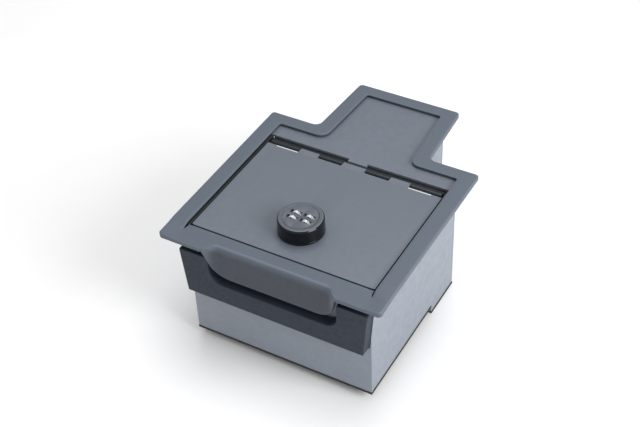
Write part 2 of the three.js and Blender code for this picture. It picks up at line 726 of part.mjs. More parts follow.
// ---------- lock ----------
function lockBase() {
  const bore = SPINDLE_RADIUS + SPINDLE_CLEARANCE;
  const profile = [
    [bore, -NECK_DROP],
    [NECK_RADIUS, -NECK_DROP],
    [NECK_RADIUS, TOP + SEAT],
    [LOCK_BASE_RADIUS, TOP + SEAT],
    [LOCK_BASE_RADIUS, TOP + SEAT + LOCK_BASE_SHEET],
    [bore, TOP + SEAT + LOCK_BASE_SHEET],
    [bore, -NECK_DROP],
  ];
  return solidOf(turned(profile, ROUND_SIDES * 2));
}

function ring(outer, bore, low, high) {
  return outer.subtract(rodZ(bore, 0, 0, low - 1, high + 1, ROUND_SIDES));
}

function lockWasher() {
  const high = UNDER - SEAT;
  const low = high - WASHER_SHEET;
  return ring(rodZ(WASHER_RADIUS, 0, 0, low, high, ROUND_SIDES), NECK_RADIUS + SEAT, low, high);
}

function lockNut() {
  const high = UNDER - SEAT - WASHER_SHEET - SEAT;
  const low = high - NUT_HEIGHT;
  const corners = NUT_ACROSS / 2 / Math.cos(Math.PI / 6);
  return ring(rodZ(corners, 0, 0, low, high, 6), NECK_RADIUS + SEAT, low, high);
}

function knobBody() {
  const floor = KNOB_BOTTOM + KNOB_FLOOR;
  const hub = SPINDLE_RADIUS + SEAT;
  const profile = [
    [hub, KNOB_BOTTOM],
    [KNOB_FOOT_RADIUS, KNOB_BOTTOM],
    [KNOB_TOP_RADIUS, KNOB_TOP - KNOB_CHAMFER],
    [KNOB_TOP_RADIUS - KNOB_CHAMFER, KNOB_TOP],
    [KNOB_BORE_RADIUS, KNOB_TOP],
    [KNOB_BORE_RADIUS, floor],
    [hub, floor],
    [hub, KNOB_BOTTOM],
  ];
  return solidOf(turned(profile, ROUND_SIDES * 2));
}

const dialPlaces = [
  [-DIAL_X, DIAL_Y],
  [DIAL_X, DIAL_Y],
  [-DIAL_X, -DIAL_Y],
  [DIAL_X, -DIAL_Y],
];

function knobCap() {
  const disc = rodZ(KNOB_BORE_RADIUS - SEAT, 0, 0, CAP_TOP - CAP_SHEET, CAP_TOP, ROUND_SIDES * 2);
  const ribTop = CAP_TOP - CAP_SHEET + SEAT;
  const ribBottom = CAP_TOP - CAP_SHEET - AXLE_RIB_DROP;
  const ribs = AXLE_RIBS.map(([y0, y1]) =>
    block(-AXLE_RIB_HALF, AXLE_RIB_HALF, y0, y1, ribBottom, ribTop),
  );
  const [length, width] = DIAL_WINDOW;
  const windows = dialPlaces.map(([x, y]) =>
    block(x - length / 2, x + length / 2, y - width / 2, y + width / 2, -FAR, FAR),
  );
  const bores = [-DIAL_X, DIAL_X].map((x) =>
    rodY(AXLE_RADIUS + PIN_CLEARANCE, x, DIAL_Z, -FAR, FAR, ROUND_SIDES),
  );
  return cut(unite([disc, ...ribs]), [...windows, ...bores]);
}

function lockSpindle() {
  const top = KNOB_BOTTOM + KNOB_FLOOR;
  const tenonEnd = SPINDLE_SHOULDER + SEAT + CAM_SHEET;
  const body = rodZ(SPINDLE_RADIUS, 0, 0, -SPINDLE_SHOULDER, top, ROUND_SIDES * 2);
  const tenon = block(-TENON / 2, TENON / 2, -TENON / 2, TENON / 2, -tenonEnd, 1 - SPINDLE_SHOULDER);
  const holeTop = -tenonEnd + CAM_SHANK_LENGTH + 1;
  const hole = rodZ(CAM_SHANK_RADIUS + SEAT, 0, 0, -FAR, holeTop, SCREW_SIDES);
  return body.add(tenon).subtract(hole);
}

// The cam at rest points to +x, clear of the keeper.
function lockCam() {
  const hub = CAM_WIDTH / 2;
  const high = -(SPINDLE_SHOULDER + SEAT);
  const bar = prismZ(rectangle(-hub, -hub, CAM_LENGTH, hub, hub - 1), high - CAM_SHEET, high);
  const hole = TENON / 2 + SEAT;
  return bar.subtract(block(-hole, hole, -hole, hole, -FAR, 0));
}

function camScrew() {
  const seat = -(SPINDLE_SHOULDER + SEAT + CAM_SHEET + SEAT);
  const profile = [
    [0, seat - CAM_SCREW_HEAD],
    [CAM_SCREW_RADIUS - 1, seat - CAM_SCREW_HEAD],
    [CAM_SCREW_RADIUS, seat - CAM_SCREW_HEAD + 1],
    [CAM_SCREW_RADIUS, seat],
    [CAM_SHANK_RADIUS, seat],
    [CAM_SHANK_RADIUS, seat + CAM_SHANK_LENGTH],
    [0, seat + CAM_SHANK_LENGTH],
  ];
  return solidOf(turned(profile, SCREW_SIDES));
}

const dialAxle = () => rodY(AXLE_RADIUS, 0, 0, -AXLE_HALF, AXLE_HALF, ROUND_SIDES);

// A thumb wheel about the y axis with a shallow groove between each of its numbers.
function dial() {
  const points = [];
  for (let i = 0; i < DIAL_FLATS; i++) {
    for (const [share, radius] of [
      [0.12, DIAL_RADIUS],
      [0.5, DIAL_RADIUS],
      [0.88, DIAL_RADIUS],
      [1, DIAL_RADIUS - DIAL_GROOVE],
    ]) {
      const angle = ((i + share - 0.5) / DIAL_FLATS) * 2 * Math.PI + Math.PI / 2;
      points.push(new THREE.Vector2(radius * Math.cos(angle), radius * Math.sin(angle)));
    }
  }
  const wheel = prismY(points, -DIAL_WIDTH / 2, DIAL_WIDTH / 2);
  const bore = AXLE_RADIUS + PIN_CLEARANCE;
  return wheel.subtract(rodY(bore, 0, 0, -DIAL_WIDTH, DIAL_WIDTH, ROUND_SIDES));
}

// ---------- materials ----------
const finish = (color, roughness, metalness) =>
  new THREE.MeshStandardMaterial({ color, roughness, metalness });
const TRIM_PLASTIC = finish(0x636b76, 0.6, 0);
const LID_COAT = finish(0x747b88, 0.6, 0.1);
const BOX_COAT = finish(0xa5adb8, 0.5, 0.3);
const BRACKET_PLASTIC = finish(0x3c434d, 0.7, 0);
const DARK_COAT = finish(0x26292e, 0.7, 0.1);
const HINGE_STEEL = finish(0x5b6068, 0.4, 0.8);
const ZINC = finish(0xa9adb2, 0.4, 0.9);
const FOAM = finish(0x24262a, 0.95, 0);
const KNOB_GLOSS = finish(0x14171c, 0.25, 0);
const CAP_SATIN = finish(0x5a6068, 0.5, 0);
const NICKEL = finish(0xd0d4da, 0.3, 1);

// ---------- assembly ----------
const boxParts = new THREE.Group();
const lidParts = new THREE.Group();
const lockParts = new THREE.Group();

function add(group, name, geometry, material, position = [0, 0, 0]) {
  const mesh = new THREE.Mesh(geometry, material);
  mesh.name = name;
  mesh.position.set(...position);
  group.add(mesh);
  return mesh;
}

const addSolid = (group, name, solid, material, position) =>
  add(group, name, geometryOf(solid), material, position);

addSolid(boxParts, "trim_frame", trimFrame(), TRIM_PLASTIC);
addSolid(boxParts, "rear_cover", rearCover(), LID_COAT);
addSolid(boxParts, "side_rail_left", sideRail(-1), DARK_COAT);
addSolid(boxParts, "side_rail_right", sideRail(1), DARK_COAT);
addSolid(boxParts, "front_rail", frontRail(), DARK_COAT);
addSolid(boxParts, "front_wall", frontWall(), BOX_COAT);
addSolid(boxParts, "left_wall", sideWall(-1), BOX_COAT);
addSolid(boxParts, "right_wall", sideWall(1), BOX_COAT);
addSolid(boxParts, "rear_wall", rearWall(), BOX_COAT);
addSolid(boxParts, "tongue_wall_left", tongueWall(-1), BOX_COAT);
addSolid(boxParts, "tongue_wall_right", tongueWall(1), BOX_COAT);
addSolid(boxParts, "tongue_end_wall", tongueEndWall(), BOX_COAT);
addSolid(boxParts, "tongue_floor", tongueFloor(), BOX_COAT);
addSolid(boxParts, "floor_front", floorFront(), DARK_COAT);
addSolid(boxParts, "floor_riser", floorRiser(), BOX_COAT);
addSolid(boxParts, "floor_rear", floorRear(), DARK_COAT);
addSolid(boxParts, "main_mat", mainMat(), FOAM);
addSolid(boxParts, "well_mat", wellMat(), FOAM);
addSolid(boxParts, "tongue_mat", tongueMat(), FOAM);
addSolid(boxParts, "latch_keeper", latchKeeper(), ZINC);
addSolid(boxParts, "front_bracket", frontBracket(), BRACKET_PLASTIC);
addSolid(boxParts, "hinge_leaf", hingeLeaf(), HINGE_STEEL);
addSolid(boxParts, "hinge_pin", hingePin(), HINGE_STEEL);

trimScrewPlaces.forEach(([x, y], i) => {
  const seat = UNDER - SEAT;
  const length = -TRIM_SHEET + TRIM_SCREW_BITE - seat;
  add(boxParts, `trim_screw_${i + 1}`, screwGeometry(length), ZINC, [x, y, seat]);
});
HINGE_SCREW_XS.forEach((x, i) => {
  const seat = WALL_TOP - LEAF_SHEET - SEAT;
  const length = UNDER + TRIM_SCREW_BITE - SEAT - seat;
  add(boxParts, `hinge_screw_${i + 1}`, screwGeometry(length), ZINC, [x, HINGE_SCREW_Y, seat]);
});
[-BRACKET_SCREW_X, BRACKET_SCREW_X].forEach((x, i) => {
  const seat = BOX_FRONT + STEEL + SEAT;
  const length = seat - (BOX_FRONT - SEAT - BRACKET_SCREW_BITE);
  const name = `bracket_screw_${i + 1}`;
  const screw = add(boxParts, name, screwGeometry(length), ZINC, [x, seat, BRACKET_SCREW_Z]);
  screw.rotation.x = Math.PI / 2;
});

addSolid(lidParts, "lid_plate", lidPlate(), LID_COAT);
addSolid(lidParts, "lid_rib_left", sideRib(-1), LID_COAT);
addSolid(lidParts, "lid_rib_right", sideRib(1), LID_COAT);
addSolid(lidParts, "lid_rib_front", frontRib(), LID_COAT);

addSolid(lockParts, "lock_base", lockBase(), KNOB_GLOSS);
addSolid(lockParts, "lock_washer", lockWasher(), ZINC);
addSolid(lockParts, "lock_nut", lockNut(), ZINC);
addSolid(lockParts, "knob_body", knobBody(), KNOB_GLOSS);
addSolid(lockParts, "knob_cap", knobCap(), CAP_SATIN);
addSolid(lockParts, "lock_spindle", lockSpindle(), ZINC);
addSolid(lockParts, "lock_cam", lockCam(), ZINC);
addSolid(lockParts, "cam_screw", camScrew(), ZINC);
addSolid(lockParts, "dial_axle_left", dialAxle(), ZINC, [-DIAL_X, 0, DIAL_Z]);
addSolid(lockParts, "dial_axle_right", dialAxle(), ZINC, [DIAL_X, 0, DIAL_Z]);
dialPlaces.forEach(([x, y], i) =>
  addSolid(lockParts, `dial_${i + 1}`, dial(), NICKEL, [x, y, DIAL_Z]),
);
lockParts.position.set(0, LOCK_Y, 0);

// The row's origin is under the middle of the whole safe, on the surface it stands on.
const safe = new THREE.Group();
safe.add(boxParts, lidParts.add(lockParts));
safe.position.set(0, -TRIM_REAR / 2, BOTTOM);

export default safe;
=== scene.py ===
"""A strongbox for a vehicle's centre console: a coated steel box under a T-shaped moulded trim,
with a hinged lid, a knob lock with four dials and a moulded bracket across its front.
Shapes are worked in millimetres from the middle of the trim's front edge, at its top face."""

import json
import math

import bmesh
import bpy
from bpy.props import FloatProperty, FloatVectorProperty, PointerProperty
from mathutils import Matrix, Vector

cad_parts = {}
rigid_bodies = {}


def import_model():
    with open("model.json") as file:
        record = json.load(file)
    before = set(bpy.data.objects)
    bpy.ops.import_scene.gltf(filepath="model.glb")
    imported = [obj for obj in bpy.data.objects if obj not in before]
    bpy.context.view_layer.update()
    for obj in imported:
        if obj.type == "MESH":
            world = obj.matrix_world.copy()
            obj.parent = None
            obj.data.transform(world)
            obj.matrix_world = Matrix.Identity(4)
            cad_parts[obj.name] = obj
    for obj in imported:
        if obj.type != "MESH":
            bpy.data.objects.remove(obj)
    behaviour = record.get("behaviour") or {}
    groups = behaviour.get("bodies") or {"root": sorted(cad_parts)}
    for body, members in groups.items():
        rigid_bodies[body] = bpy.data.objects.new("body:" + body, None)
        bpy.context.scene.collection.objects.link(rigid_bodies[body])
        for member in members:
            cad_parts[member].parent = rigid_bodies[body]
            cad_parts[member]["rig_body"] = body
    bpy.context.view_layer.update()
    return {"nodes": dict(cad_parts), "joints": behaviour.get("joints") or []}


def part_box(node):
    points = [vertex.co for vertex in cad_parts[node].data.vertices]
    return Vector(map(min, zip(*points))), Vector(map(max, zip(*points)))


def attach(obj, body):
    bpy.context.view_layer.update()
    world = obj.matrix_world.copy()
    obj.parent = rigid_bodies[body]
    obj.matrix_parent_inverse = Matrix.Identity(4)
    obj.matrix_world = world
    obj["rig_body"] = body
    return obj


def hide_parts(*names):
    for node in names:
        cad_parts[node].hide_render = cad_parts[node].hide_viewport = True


bl_info = {
    "name": "Vehicle console safe",
    "version": (1, 0, 0),
    "blender": (4, 5, 0),
    "location": "3D View > Sidebar > Console safe",
    "description": "Builds the finished pieces of a console safe around its packed frame",
    "category": "Add Mesh",
}

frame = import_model()

MM = 0.001
WELD = 0.002  # points of a CAD node closer than this are one point, in millimetres
FLAT = math.radians(1)
HALF_WORN_AND_LIT = 0.35  # how worn and lit the borders of a rounded edge are: edge wear and a painted highlight

# ---- places that the imported frame gives
TRIM_LOW, TRIM_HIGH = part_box("trim_frame")
ORIGIN = Vector((0, TRIM_LOW.y, TRIM_HIGH.z))


def measured(node):
    """A CAD node's lowest and highest corners in millimetres from ORIGIN."""
    return [(corner - ORIGIN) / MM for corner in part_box(node)]


def pivot(name):
    """A joint's place in millimetres from ORIGIN."""
    joint = next(j for j in frame["joints"] if j["name"] == name)
    return (Vector(joint["pos_m"]) - ORIGIN) / MM


TRIM_BOX = measured("trim_frame")
LID_BOX = measured("lid_plate")
LEAF_BOX = measured("hinge_leaf")
BRACKET_BOX = measured("front_bracket")
HINGE = pivot("lid_hinge")
LOCK = pivot("knob_turn")

# ---- the trim's plan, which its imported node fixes
TRIM_X = TRIM_BOX[1].x
TRIM_DEPTH = 226.0
TRIM_END = TRIM_BOX[1].y
TRIM_SHEET = 3.7
TRIM_SKIRT = 5.0
FRONT_SKIRT = 7.5
TRIM_SKIRT_WALL = 2.5
BAND_SAG = 0.75  # how much of the front band's drop its underside follows
TRIM_CORNER = 4.0
ROOT_X = 67.0
END_X = 62.0
END_CORNER = 5.0
ROOT_CORNER = 8.0
SIDE_BAND = 18.2
FRONT_BAND = 26.2
REAR_BAND = 15.5
TONGUE_BAND = 16.5
TONGUE_END_BAND = 15.0
WINDOW_CORNER = 2.5
WINDOW_ROOT_CORNER = 12.0
WINDOW_X = TRIM_X - SIDE_BAND

SCOOP_HALF = 76.0
SCOOP_FLARE = 14.0
SCOOP_SETBACK = 9.0
SCOOP_WALL = 2.5
SCOOP_DEPTH = -TRIM_BOX[0].z
SCOOP_TOP = 3.1
SCOOP_CORNER = 16.0
SCOOP_SLANT = 10.0

LID_SHEET = 3.0
SHEET_TOP = LID_BOX[1].z
SHEET_UNDER = SHEET_TOP - LID_SHEET
KNUCKLE_GAP = 0.4
INNER_NOTCH = (14.0, 42.0)
OUTER_NOTCH = 66.0
NOTCH_GAP = 2.5
PIN_BORE = 1.58
LOCK_HOLE = 9.55


def length(name, description, millimetres):
    default = millimetres * MM
    return FloatProperty(
        name=name, description=description, default=default, min=0, precision=5, unit="LENGTH"
    )


def colour(name, description, *red_green_blue):
    default = red_green_blue
    return FloatVectorProperty(
        name=name, description=description, default=default, min=0, max=1, subtype="COLOR"
    )


def power(name, description, watts):
    return FloatProperty(
        name=name, description=description, default=watts, min=0.0, unit="POWER"
    )


class SafeSizes(bpy.types.PropertyGroup):
    lip: length("Lip", "Width of the sloped lip round the trim's outer edge", 1.0)
    lip_break: length("Lip break", "Rounding where the lip meets the flat", 0.25)
    front_drop: length("Front drop", "How far the front band lies below the other bands", 2.8)
    corner_rise: length("Corner rise", "How far the front band climbs back at its corners", 1.8)
    step_reach: length("Step reach", "How far the window's step runs on into the front band", 9.0)
    step_width: length("Step width", "Width of that step where it starts", 2.0)
    undercut: length("Undercut", "How far the window's wall is set back under its edge", 3.0)
    window_lip: length("Window lip", "Thickness of the edge over that wall", 1.7)
    scoop_fillet: length("Scoop fillet", "Rounding from the trim's top into the scoop", 4.6)
    window_edge: length("Window edge", "Rounding of the trim's inner edge", 0.4)
    sheet_edge: length("Sheet edge", "Rounding of the steel sheets' edges", 0.45)
    lid_edge: length("Lid edge", "Rounding of the lid's edges", 0.6)
    lid_corner: length("Lid corner", "Radius of the lid's front corners", 2.0)
    # A pale steel-coloured strip lies on the lid in front of each outer notch.
    bare_strip: length("Bare strip", "Depth of the bare steel in front of an outer notch", 1.8)
    bare_width: length("Bare strip width", "Width of the bare steel at an outer notch", 26.0)
    bracket_taper: length("Bracket taper", "How much narrower each side is at the bottom", 5.5)
    bracket_edge: length("Bracket edge", "Rounding of the bracket's edges", 1.1)
    knob_edge: length("Knob edge", "Rounding of the knob's rim", 0.6)
    cap_rise: length("Cap rise", "How far the knob's cap fills its recess", 0.5)
    small_edge: length("Small edge", "Rounding of small lock parts", 0.2)
    mat_corner: length("Mat corner", "Radius of the foam mats' corners", 4.0)
    screw_recess: length("Screw recess", "Depth of the cross in a screw's head", 1.1)


class SafeColours(bpy.types.PropertyGroup):
    trim: colour("Trim", "Moulded trim", 0.095, 0.114, 0.143)
    lid: colour("Lid", "Powder coat of the lid and rear cover", 0.110, 0.127, 0.156)
    box: colour("Box", "Powder coat of the box", 0.20, 0.224, 0.265)
    # Near-black of the floors, rails and side walls' tops; on the rails, under the trim's skirt, it
    # is painted shade.
    primer: colour("Primer", "Black primer of the rails and floors", 0.010, 0.011, 0.013)
    # Near-black for the window's undercut wall and a block under each step: painted shade in the
    # gap round the lid.
    seal: colour("Seal", "Black seal under the trim's inner edge", 0.006, 0.0065, 0.008)
    bracket: colour("Bracket", "Moulded bracket", 0.017, 0.024, 0.037)
    foam: colour("Foam", "Foam mats", 0.018, 0.019, 0.021)
    steel: colour("Hinge steel", "Hinge leaf, knuckles and pin", 0.035, 0.038, 0.045)
    zinc: colour("Zinc", "Plated screws and lock parts", 0.58, 0.59, 0.6)
    gloss: colour("Knob", "Gloss black knob", 0.004, 0.005, 0.007)
    cap: colour("Cap", "Satin top of the knob", 0.053, 0.060, 0.074)
    nickel: colour("Nickel", "Dials", 0.80, 0.82, 0.85)
    # Colour of the pale strips in front of the lid's outer notches.
    bare: colour("Bare steel", "Steel where the coat is rubbed off", 0.62, 0.64, 0.67)


class SafeStudio(bpy.types.PropertyGroup):
    key: power("Key", "Soft light at the right", 24.0)
    top: power("Top", "Soft light above", 16.0)
    fill: power("Fill", "Soft light in front", 0.5)
    sky: FloatProperty(
        name="Sky", description="Strength of the even surround", default=0.58, min=0.0
    )


def sizes():
    return bpy.context.scene.safe_sizes


def mm(value):
    """A size property in millimetres."""
    return value / MM


# ---- shapes
def smooth(value, low, high):
    """0 below low, 1 above high, and an even curve between."""
    t = min(max((value - low) / (high - low), 0.0), 1.0)
    return t * t * (3 - 2 * t)


def mixed(a, b, share):
    return a + (b - a) * share


def arc(centre, radius, start, end, steps):
    """Points on an arc about centre, from start to end in degrees."""
    angles = [math.radians(mixed(start, end, i / steps)) for i in range(steps + 1)]
    return [(centre[0] + radius * math.cos(a), centre[1] + radius * math.sin(a)) for a in angles]


def rounded_corner(before, corner, after, radius, steps):
    """Points of the arc that turns a corner of a flat outline."""
    at = Vector(corner)
    back = (Vector(before) - at).normalized()
    ahead = (Vector(after) - at).normalized()
    half = back.angle(ahead) / 2
    centre = at + (back + ahead).normalized() * (radius / math.sin(half))
    first = at + back * (radius / math.tan(half)) - centre
    turn = first.angle_signed(at + ahead * (radius / math.tan(half)) - centre)
    turns = [Matrix.Rotation(-turn * i / steps, 2) for i in range(steps + 1)]
    return [tuple(centre + matrix @ first) for matrix in turns]


def corner_arc(corners, i, steps):
    """The arc that turns one of an outline's corners (x, y, radius)."""
    *corner, radius = corners[i]
    before, after = corners[i - 1][:2], corners[(i + 1) % len(corners)][:2]
    return rounded_corner(before, corner, after, radius, steps)


def rounded_outline(corners, steps=8):
    return [p for i in range(len(corners)) for p in corner_arc(corners, i, steps)]


def new_mesh():
    bm = bmesh.new()
    bm.verts.layers.float.new("edge")
    return bm


def mark_edge(bm, verts, share=1.0):
    """Sets the attribute that the finishes read: up to 1 on rounded edges, for worn edges with a
    painted highlight, and below 0 deep in the trim's scoop, for painted shade.
    """
    layer = bm.verts.layers.float["edge"]
    for v in verts:
        v[layer] = share


def loft(bm, stations, edge_shares):
    """Extrudes a closed loop through stations of equal length, and back to the first."""
    ring = [bm.verts.new(p) for p in stations[0]]
    edges = [bm.edges.new(pair) for pair in zip(ring, ring[1:] + ring[:1])]
    mark_edge(bm, ring, edge_shares[0])
    for points, share in zip(stations[1:] + stations[:1], edge_shares[1:] + edge_shares[:1]):
        grown = bmesh.ops.extrude_edge_only(bm, edges=edges)["geom"]
        new = {g for g in grown if isinstance(g, bmesh.types.BMVert)}
        ring = [next(e.other_vert(v) for e in v.link_edges if e.other_vert(v) in new) for v in ring]
        for v, point in zip(ring, points):
            v.co = point
        mark_edge(bm, ring, share)
        edges = [bm.edges.get(pair) for pair in zip(ring, ring[1:] + ring[:1])]
    bmesh.ops.remove_doubles(bm, verts=bm.verts, dist=WELD)


def extruded(bm, points, shift):
    """A solid from a flat outline of 3-D points, drawn out by shift."""
    base = bm.faces.new([bm.verts.new(p) for p in points])
    copy = bmesh.ops.duplicate(bm, geom=[base])["geom"]
    top = next(g for g in copy if isinstance(g, bmesh.types.BMFace))
    bmesh.ops.translate(bm, vec=shift, verts=top.verts)
    bmesh.ops.bridge_loops(bm, edges=list(base.edges) + list(top.edges))
    return base, top


def block(bm, low, high):
    size = Vector(high) - Vector(low)
    place = Matrix.Translation((Vector(high) + Vector(low)) / 2)
    return bmesh.ops.create_cube(bm, size=1, matrix=place @ Matrix.Diagonal((*size, 1)))["verts"]


def lathe(bm, profile, steps=72, closed=True):
    """Spins a profile of (radius, height) about the z axis."""
    verts = [bm.verts.new((r, 0, z)) for r, z in profile]
    pairs = list(zip(verts, verts[1:] + verts[:1]))
    edges = [bm.edges.new(pair) for pair in (pairs if closed else pairs[:-1])]
    about = {"cent": (0, 0, 0), "axis": (0, 0, 1), "angle": 2 * math.pi}
    bmesh.ops.spin(bm, geom=verts + edges, steps=steps, use_merge=True, **about)
    bmesh.ops.remove_doubles(bm, verts=bm.verts, dist=WELD)


def sliced(bm, place, normal):
    """Adds edges where a plane passes."""
    everything = [*bm.verts, *bm.edges, *bm.faces]
    bmesh.ops.bisect_plane(bm, geom=everything, plane_co=place, plane_no=normal)


def sharp_edges(bm, degrees):
    bm.normal_update()
    inner = [e for e in bm.edges if len(e.link_faces) == 2]
    return [e for e in inner if e.calc_face_angle(0) > math.radians(degrees)]


def bevelled(bm, edges, width, segments):
    size = {"offset": width, "segments": segments, "profile": 0.5, "clamp_overlap": True}
    return bmesh.ops.bevel(bm, geom=edges, affect="EDGES", material=-1, **size)


def soften(bm, width, segments=2, degrees=30):
    """Rounds edges and marks the rounding, which the finishes make paler as worn edges with a
    painted highlight.
    """
    made = bevelled(bm, sharp_edges(bm, degrees), width, segments)
    faces = set(made["faces"])
    inner = [v for v in made["verts"] if all(f in faces for f in v.link_faces)]
    mark_edge(bm, made["verts"], HALF_WORN_AND_LIT)
    mark_edge(bm, inner)


def cad_copy(node):
    """A CAD node's own shape as one joined mesh, in millimetres from ORIGIN."""
    bm = bmesh.new()
    bm.from_mesh(frame["nodes"][node].data)
    bm.verts.layers.float.new("edge")
    bmesh.ops.translate(bm, vec=-ORIGIN, verts=bm.verts)
    bmesh.ops.scale(bm, vec=(1 / MM,) * 3, verts=bm.verts)
    bmesh.ops.remove_doubles(bm, verts=bm.verts, dist=WELD)
    bmesh.ops.dissolve_limit(bm, angle_limit=FLAT, verts=bm.verts, edges=bm.edges)
    return bm


def as_mesh(bm, name):
    """A mesh in metres of a shape worked in millimetres from ORIGIN."""
    bmesh.ops.recalc_face_normals(bm, faces=bm.faces)
    bmesh.ops.scale(bm, vec=(MM,) * 3, verts=bm.verts)
    bmesh.ops.translate(bm, vec=ORIGIN, verts=bm.verts)
    mesh = bpy.data.meshes.new(name)
    bm.to_mesh(mesh)
    bm.free()
    return mesh


def linked(name, data):
    """A new object in the scene."""
    made = bpy.data.objects.new(name, data)
    bpy.context.scene.collection.objects.link(made)
    return made


def finished(bm, name, node, materials, slot, smooth_below=40, even=True):
    """Makes a piece of a shape, in place of its CAD node and on its body."""
    bmesh.ops.remove_doubles(bm, verts=bm.verts, dist=WELD / 2)
    mesh = as_mesh(bm, name)
    for material in materials:
        mesh.materials.append(material)
    mesh.polygons.foreach_set("use_smooth", [True] * len(mesh.polygons))
    mesh.set_sharp_from_angle(angle=math.radians(smooth_below))
    piece = linked(name, mesh)
    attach(piece, frame["nodes"][node]["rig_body"])
    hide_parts(node)
    return even_normals(piece) if even else piece


def even_normals(piece):
    """Keeps broad faces flat where small roundings meet them."""
    modifier = piece.modifiers.new("Even normals", "WEIGHTED_NORMAL")
    modifier.keep_sharp = True
    return piece


def cut(piece, cutter_shape):
    """Cuts a shape out of a finished piece."""
    mesh = as_mesh(cutter_shape, "cutter")
    cutter = linked("cutter", mesh)
    modifier = piece.modifiers.new("Cut", "BOOLEAN")
    modifier.operation = "DIFFERENCE"
    modifier.solver = "EXACT"
    modifier.object = cutter
    graph = bpy.context.evaluated_depsgraph_get()
    result = bpy.data.meshes.new_from_object(piece.evaluated_get(graph))
    piece.modifiers.remove(modifier)
    piece.data, old = result, piece.data
    bpy.data.meshes.remove(old)
    bpy.data.objects.remove(cutter)
    bpy.data.meshes.remove(mesh)
    return piece


# ---- finishes
class Finish:
    """A material whose node tree is built with short calls."""

    def __init__(self, name, roughness, metallic=0.0, specular=0.5):
        self.material = bpy.data.materials.new(name)
        self.material.use_nodes = True
        self.tree = self.material.node_tree
        self.shader = self.tree.nodes["Principled BSDF"]
        self.shader.inputs["Roughness"].default_value = roughness
        self.shader.inputs["Metallic"].default_value = metallic
        self.shader.inputs["Specular IOR Level"].default_value = specular
        self.place = self.add("ShaderNodeTexCoord").outputs["Object"]

    def add(self, kind, inputs=None, **settings):
        node = self.tree.nodes.new(kind)
        for key, value in settings.items():
            setattr(node, key, value)
        for key, value in (inputs or {}).items():
            if isinstance(value, bpy.types.NodeSocket):
                self.tree.links.new(value, node.inputs[key])
            else:
                node.inputs[key].default_value = value
        return node

    def noise(self, millimetres, detail=2.0, stretch=(1, 1, 1)):
        """Noise with features of about that size, 0 to 1."""
        place = self.add("ShaderNodeMapping", {"Vector": self.place, "Scale": stretch})
        inputs = {"Scale": 1 / (millimetres * MM), "Detail": detail}
        inputs["Vector"] = place.outputs["Vector"]
        return self.add("ShaderNodeTexNoise", inputs).outputs["Fac"]

    def cells(self, millimetres):
        """Distance from the nearest of many points scattered about that far apart."""
        inputs = {"Vector": self.place, "Scale": 1 / (millimetres * MM)}
        return self.add("ShaderNodeTexVoronoi", inputs).outputs["Distance"]

    def ranged(self, value, low, high, from_low=0.3, from_high=0.7):
        limits = {"From Min": from_low, "From Max": from_high, "To Min": low, "To Max": high}
        return self.add("ShaderNodeMapRange", {"Value": value, **limits}).outputs["Result"]

    def times(self, a, b):
        return self.add("ShaderNodeMath", {0: a, 1: b}, operation="MULTIPLY").outputs[0]

    def plus(self, a, b):
        return self.add("ShaderNodeMath", {0: a, 1: b}, operation="ADD").outputs[0]

    def tinted(self, base, tone):
        """The base colour, scaled by a tone that varies over the surface."""
        inputs = {0: tuple(base), "Scale": tone}
        return self.add("ShaderNodeVectorMath", inputs, operation="SCALE").outputs[0]

    def exposed(self):
        """The marked attribute: 1 on rounded edges, worn and with a painted highlight, and negative
        deep in the trim's scoop, for painted shade.
        """
        return self.add("ShaderNodeAttribute", attribute_name="edge").outputs["Fac"]

    def lift(self, most):
        """Brightness that rises from 1 to most on rounded edges: partly worn edges, partly a
        painted highlight.
        """
        return self.ranged(self.exposed(), 1.0, most, 0.0, 1.0)

    def feed(self, socket, value):
        self.tree.links.new(value, self.shader.inputs[socket])

    def coated(self, base, tone, roughness, bump):
        """Feeds a colour scaled by a tone, a roughness (noise, low, high) and a bump (height,
        millimetres, strength), and gives the material."""
        self.feed("Base Color", self.tinted(base, tone))
        self.feed("Roughness", self.ranged(*roughness))
        height, millimetres, strength = bump
        inputs = {"Height": height, "Distance": millimetres * MM, "Strength": strength}
        self.feed("Normal", self.add("ShaderNodeBump", inputs).outputs["Normal"])
        return self.material


def colours():
    return bpy.context.scene.safe_colours


def kept(make):
    """Makes each finish once."""

    def made_once():
        name = make.__name__
        return bpy.data.materials.get(name) or make(name)

    return made_once


@kept
def grained_trim_plastic(name):
    """Satin moulded plastic with a fine grain, paler on worn edges with a painted highlight, and
    darker deep in the finger scoop with painted shade.
    """
    made = Finish(name, 0.5, specular=0.3)
    cloud = made.ranged(made.noise(38, 2), 0.985, 1.015)
    fine = made.ranged(made.noise(1.6, 4), 0.97, 1.03)
    # Darker deep in the finger scoop: painted shade. Paler on rounded edges: edge wear and a
    # painted highlight.
    painted_grip_shade = made.ranged(made.exposed(), 0.52, 1.0, -1.0, 0.0)
    tone = made.times(made.times(cloud, fine), made.times(made.lift(1.5), painted_grip_shade))
    rough = (made.noise(5, 3), 0.44, 0.56)
    return made.coated(colours().trim, tone, rough, (made.noise(0.35, 3), 0.05, 0.6))


def powder_coat(name, base, roughness, texture):
    """A coat with orange peel of that size in millimetres, paler on edges, where it is thinner from
    rubbing and carries a painted highlight.
    """
    made = Finish(name, roughness)
    speck = made.noise(0.25, 2)
    peel = made.plus(made.noise(texture, 2), made.times(speck, 0.3))
    cloud = made.ranged(made.noise(45, 3), 0.985, 1.015)
    fleck = made.ranged(speck, 0.97, 1.03)
    # Paler on rounded edges where the noise allows: edge wear and a painted highlight.
    wear_and_highlight = made.times(made.exposed(), made.ranged(made.noise(7, 4), 0.3, 1.0))
    lift = made.ranged(wear_and_highlight, 1.0, 1.45, 0.0, 1.0)
    tone = made.times(made.times(cloud, fleck), lift)
    rough = (made.noise(9, 3), roughness - 0.05, roughness + 0.07)
    return made.coated(base, tone, rough, (peel, 0.06, 0.5))


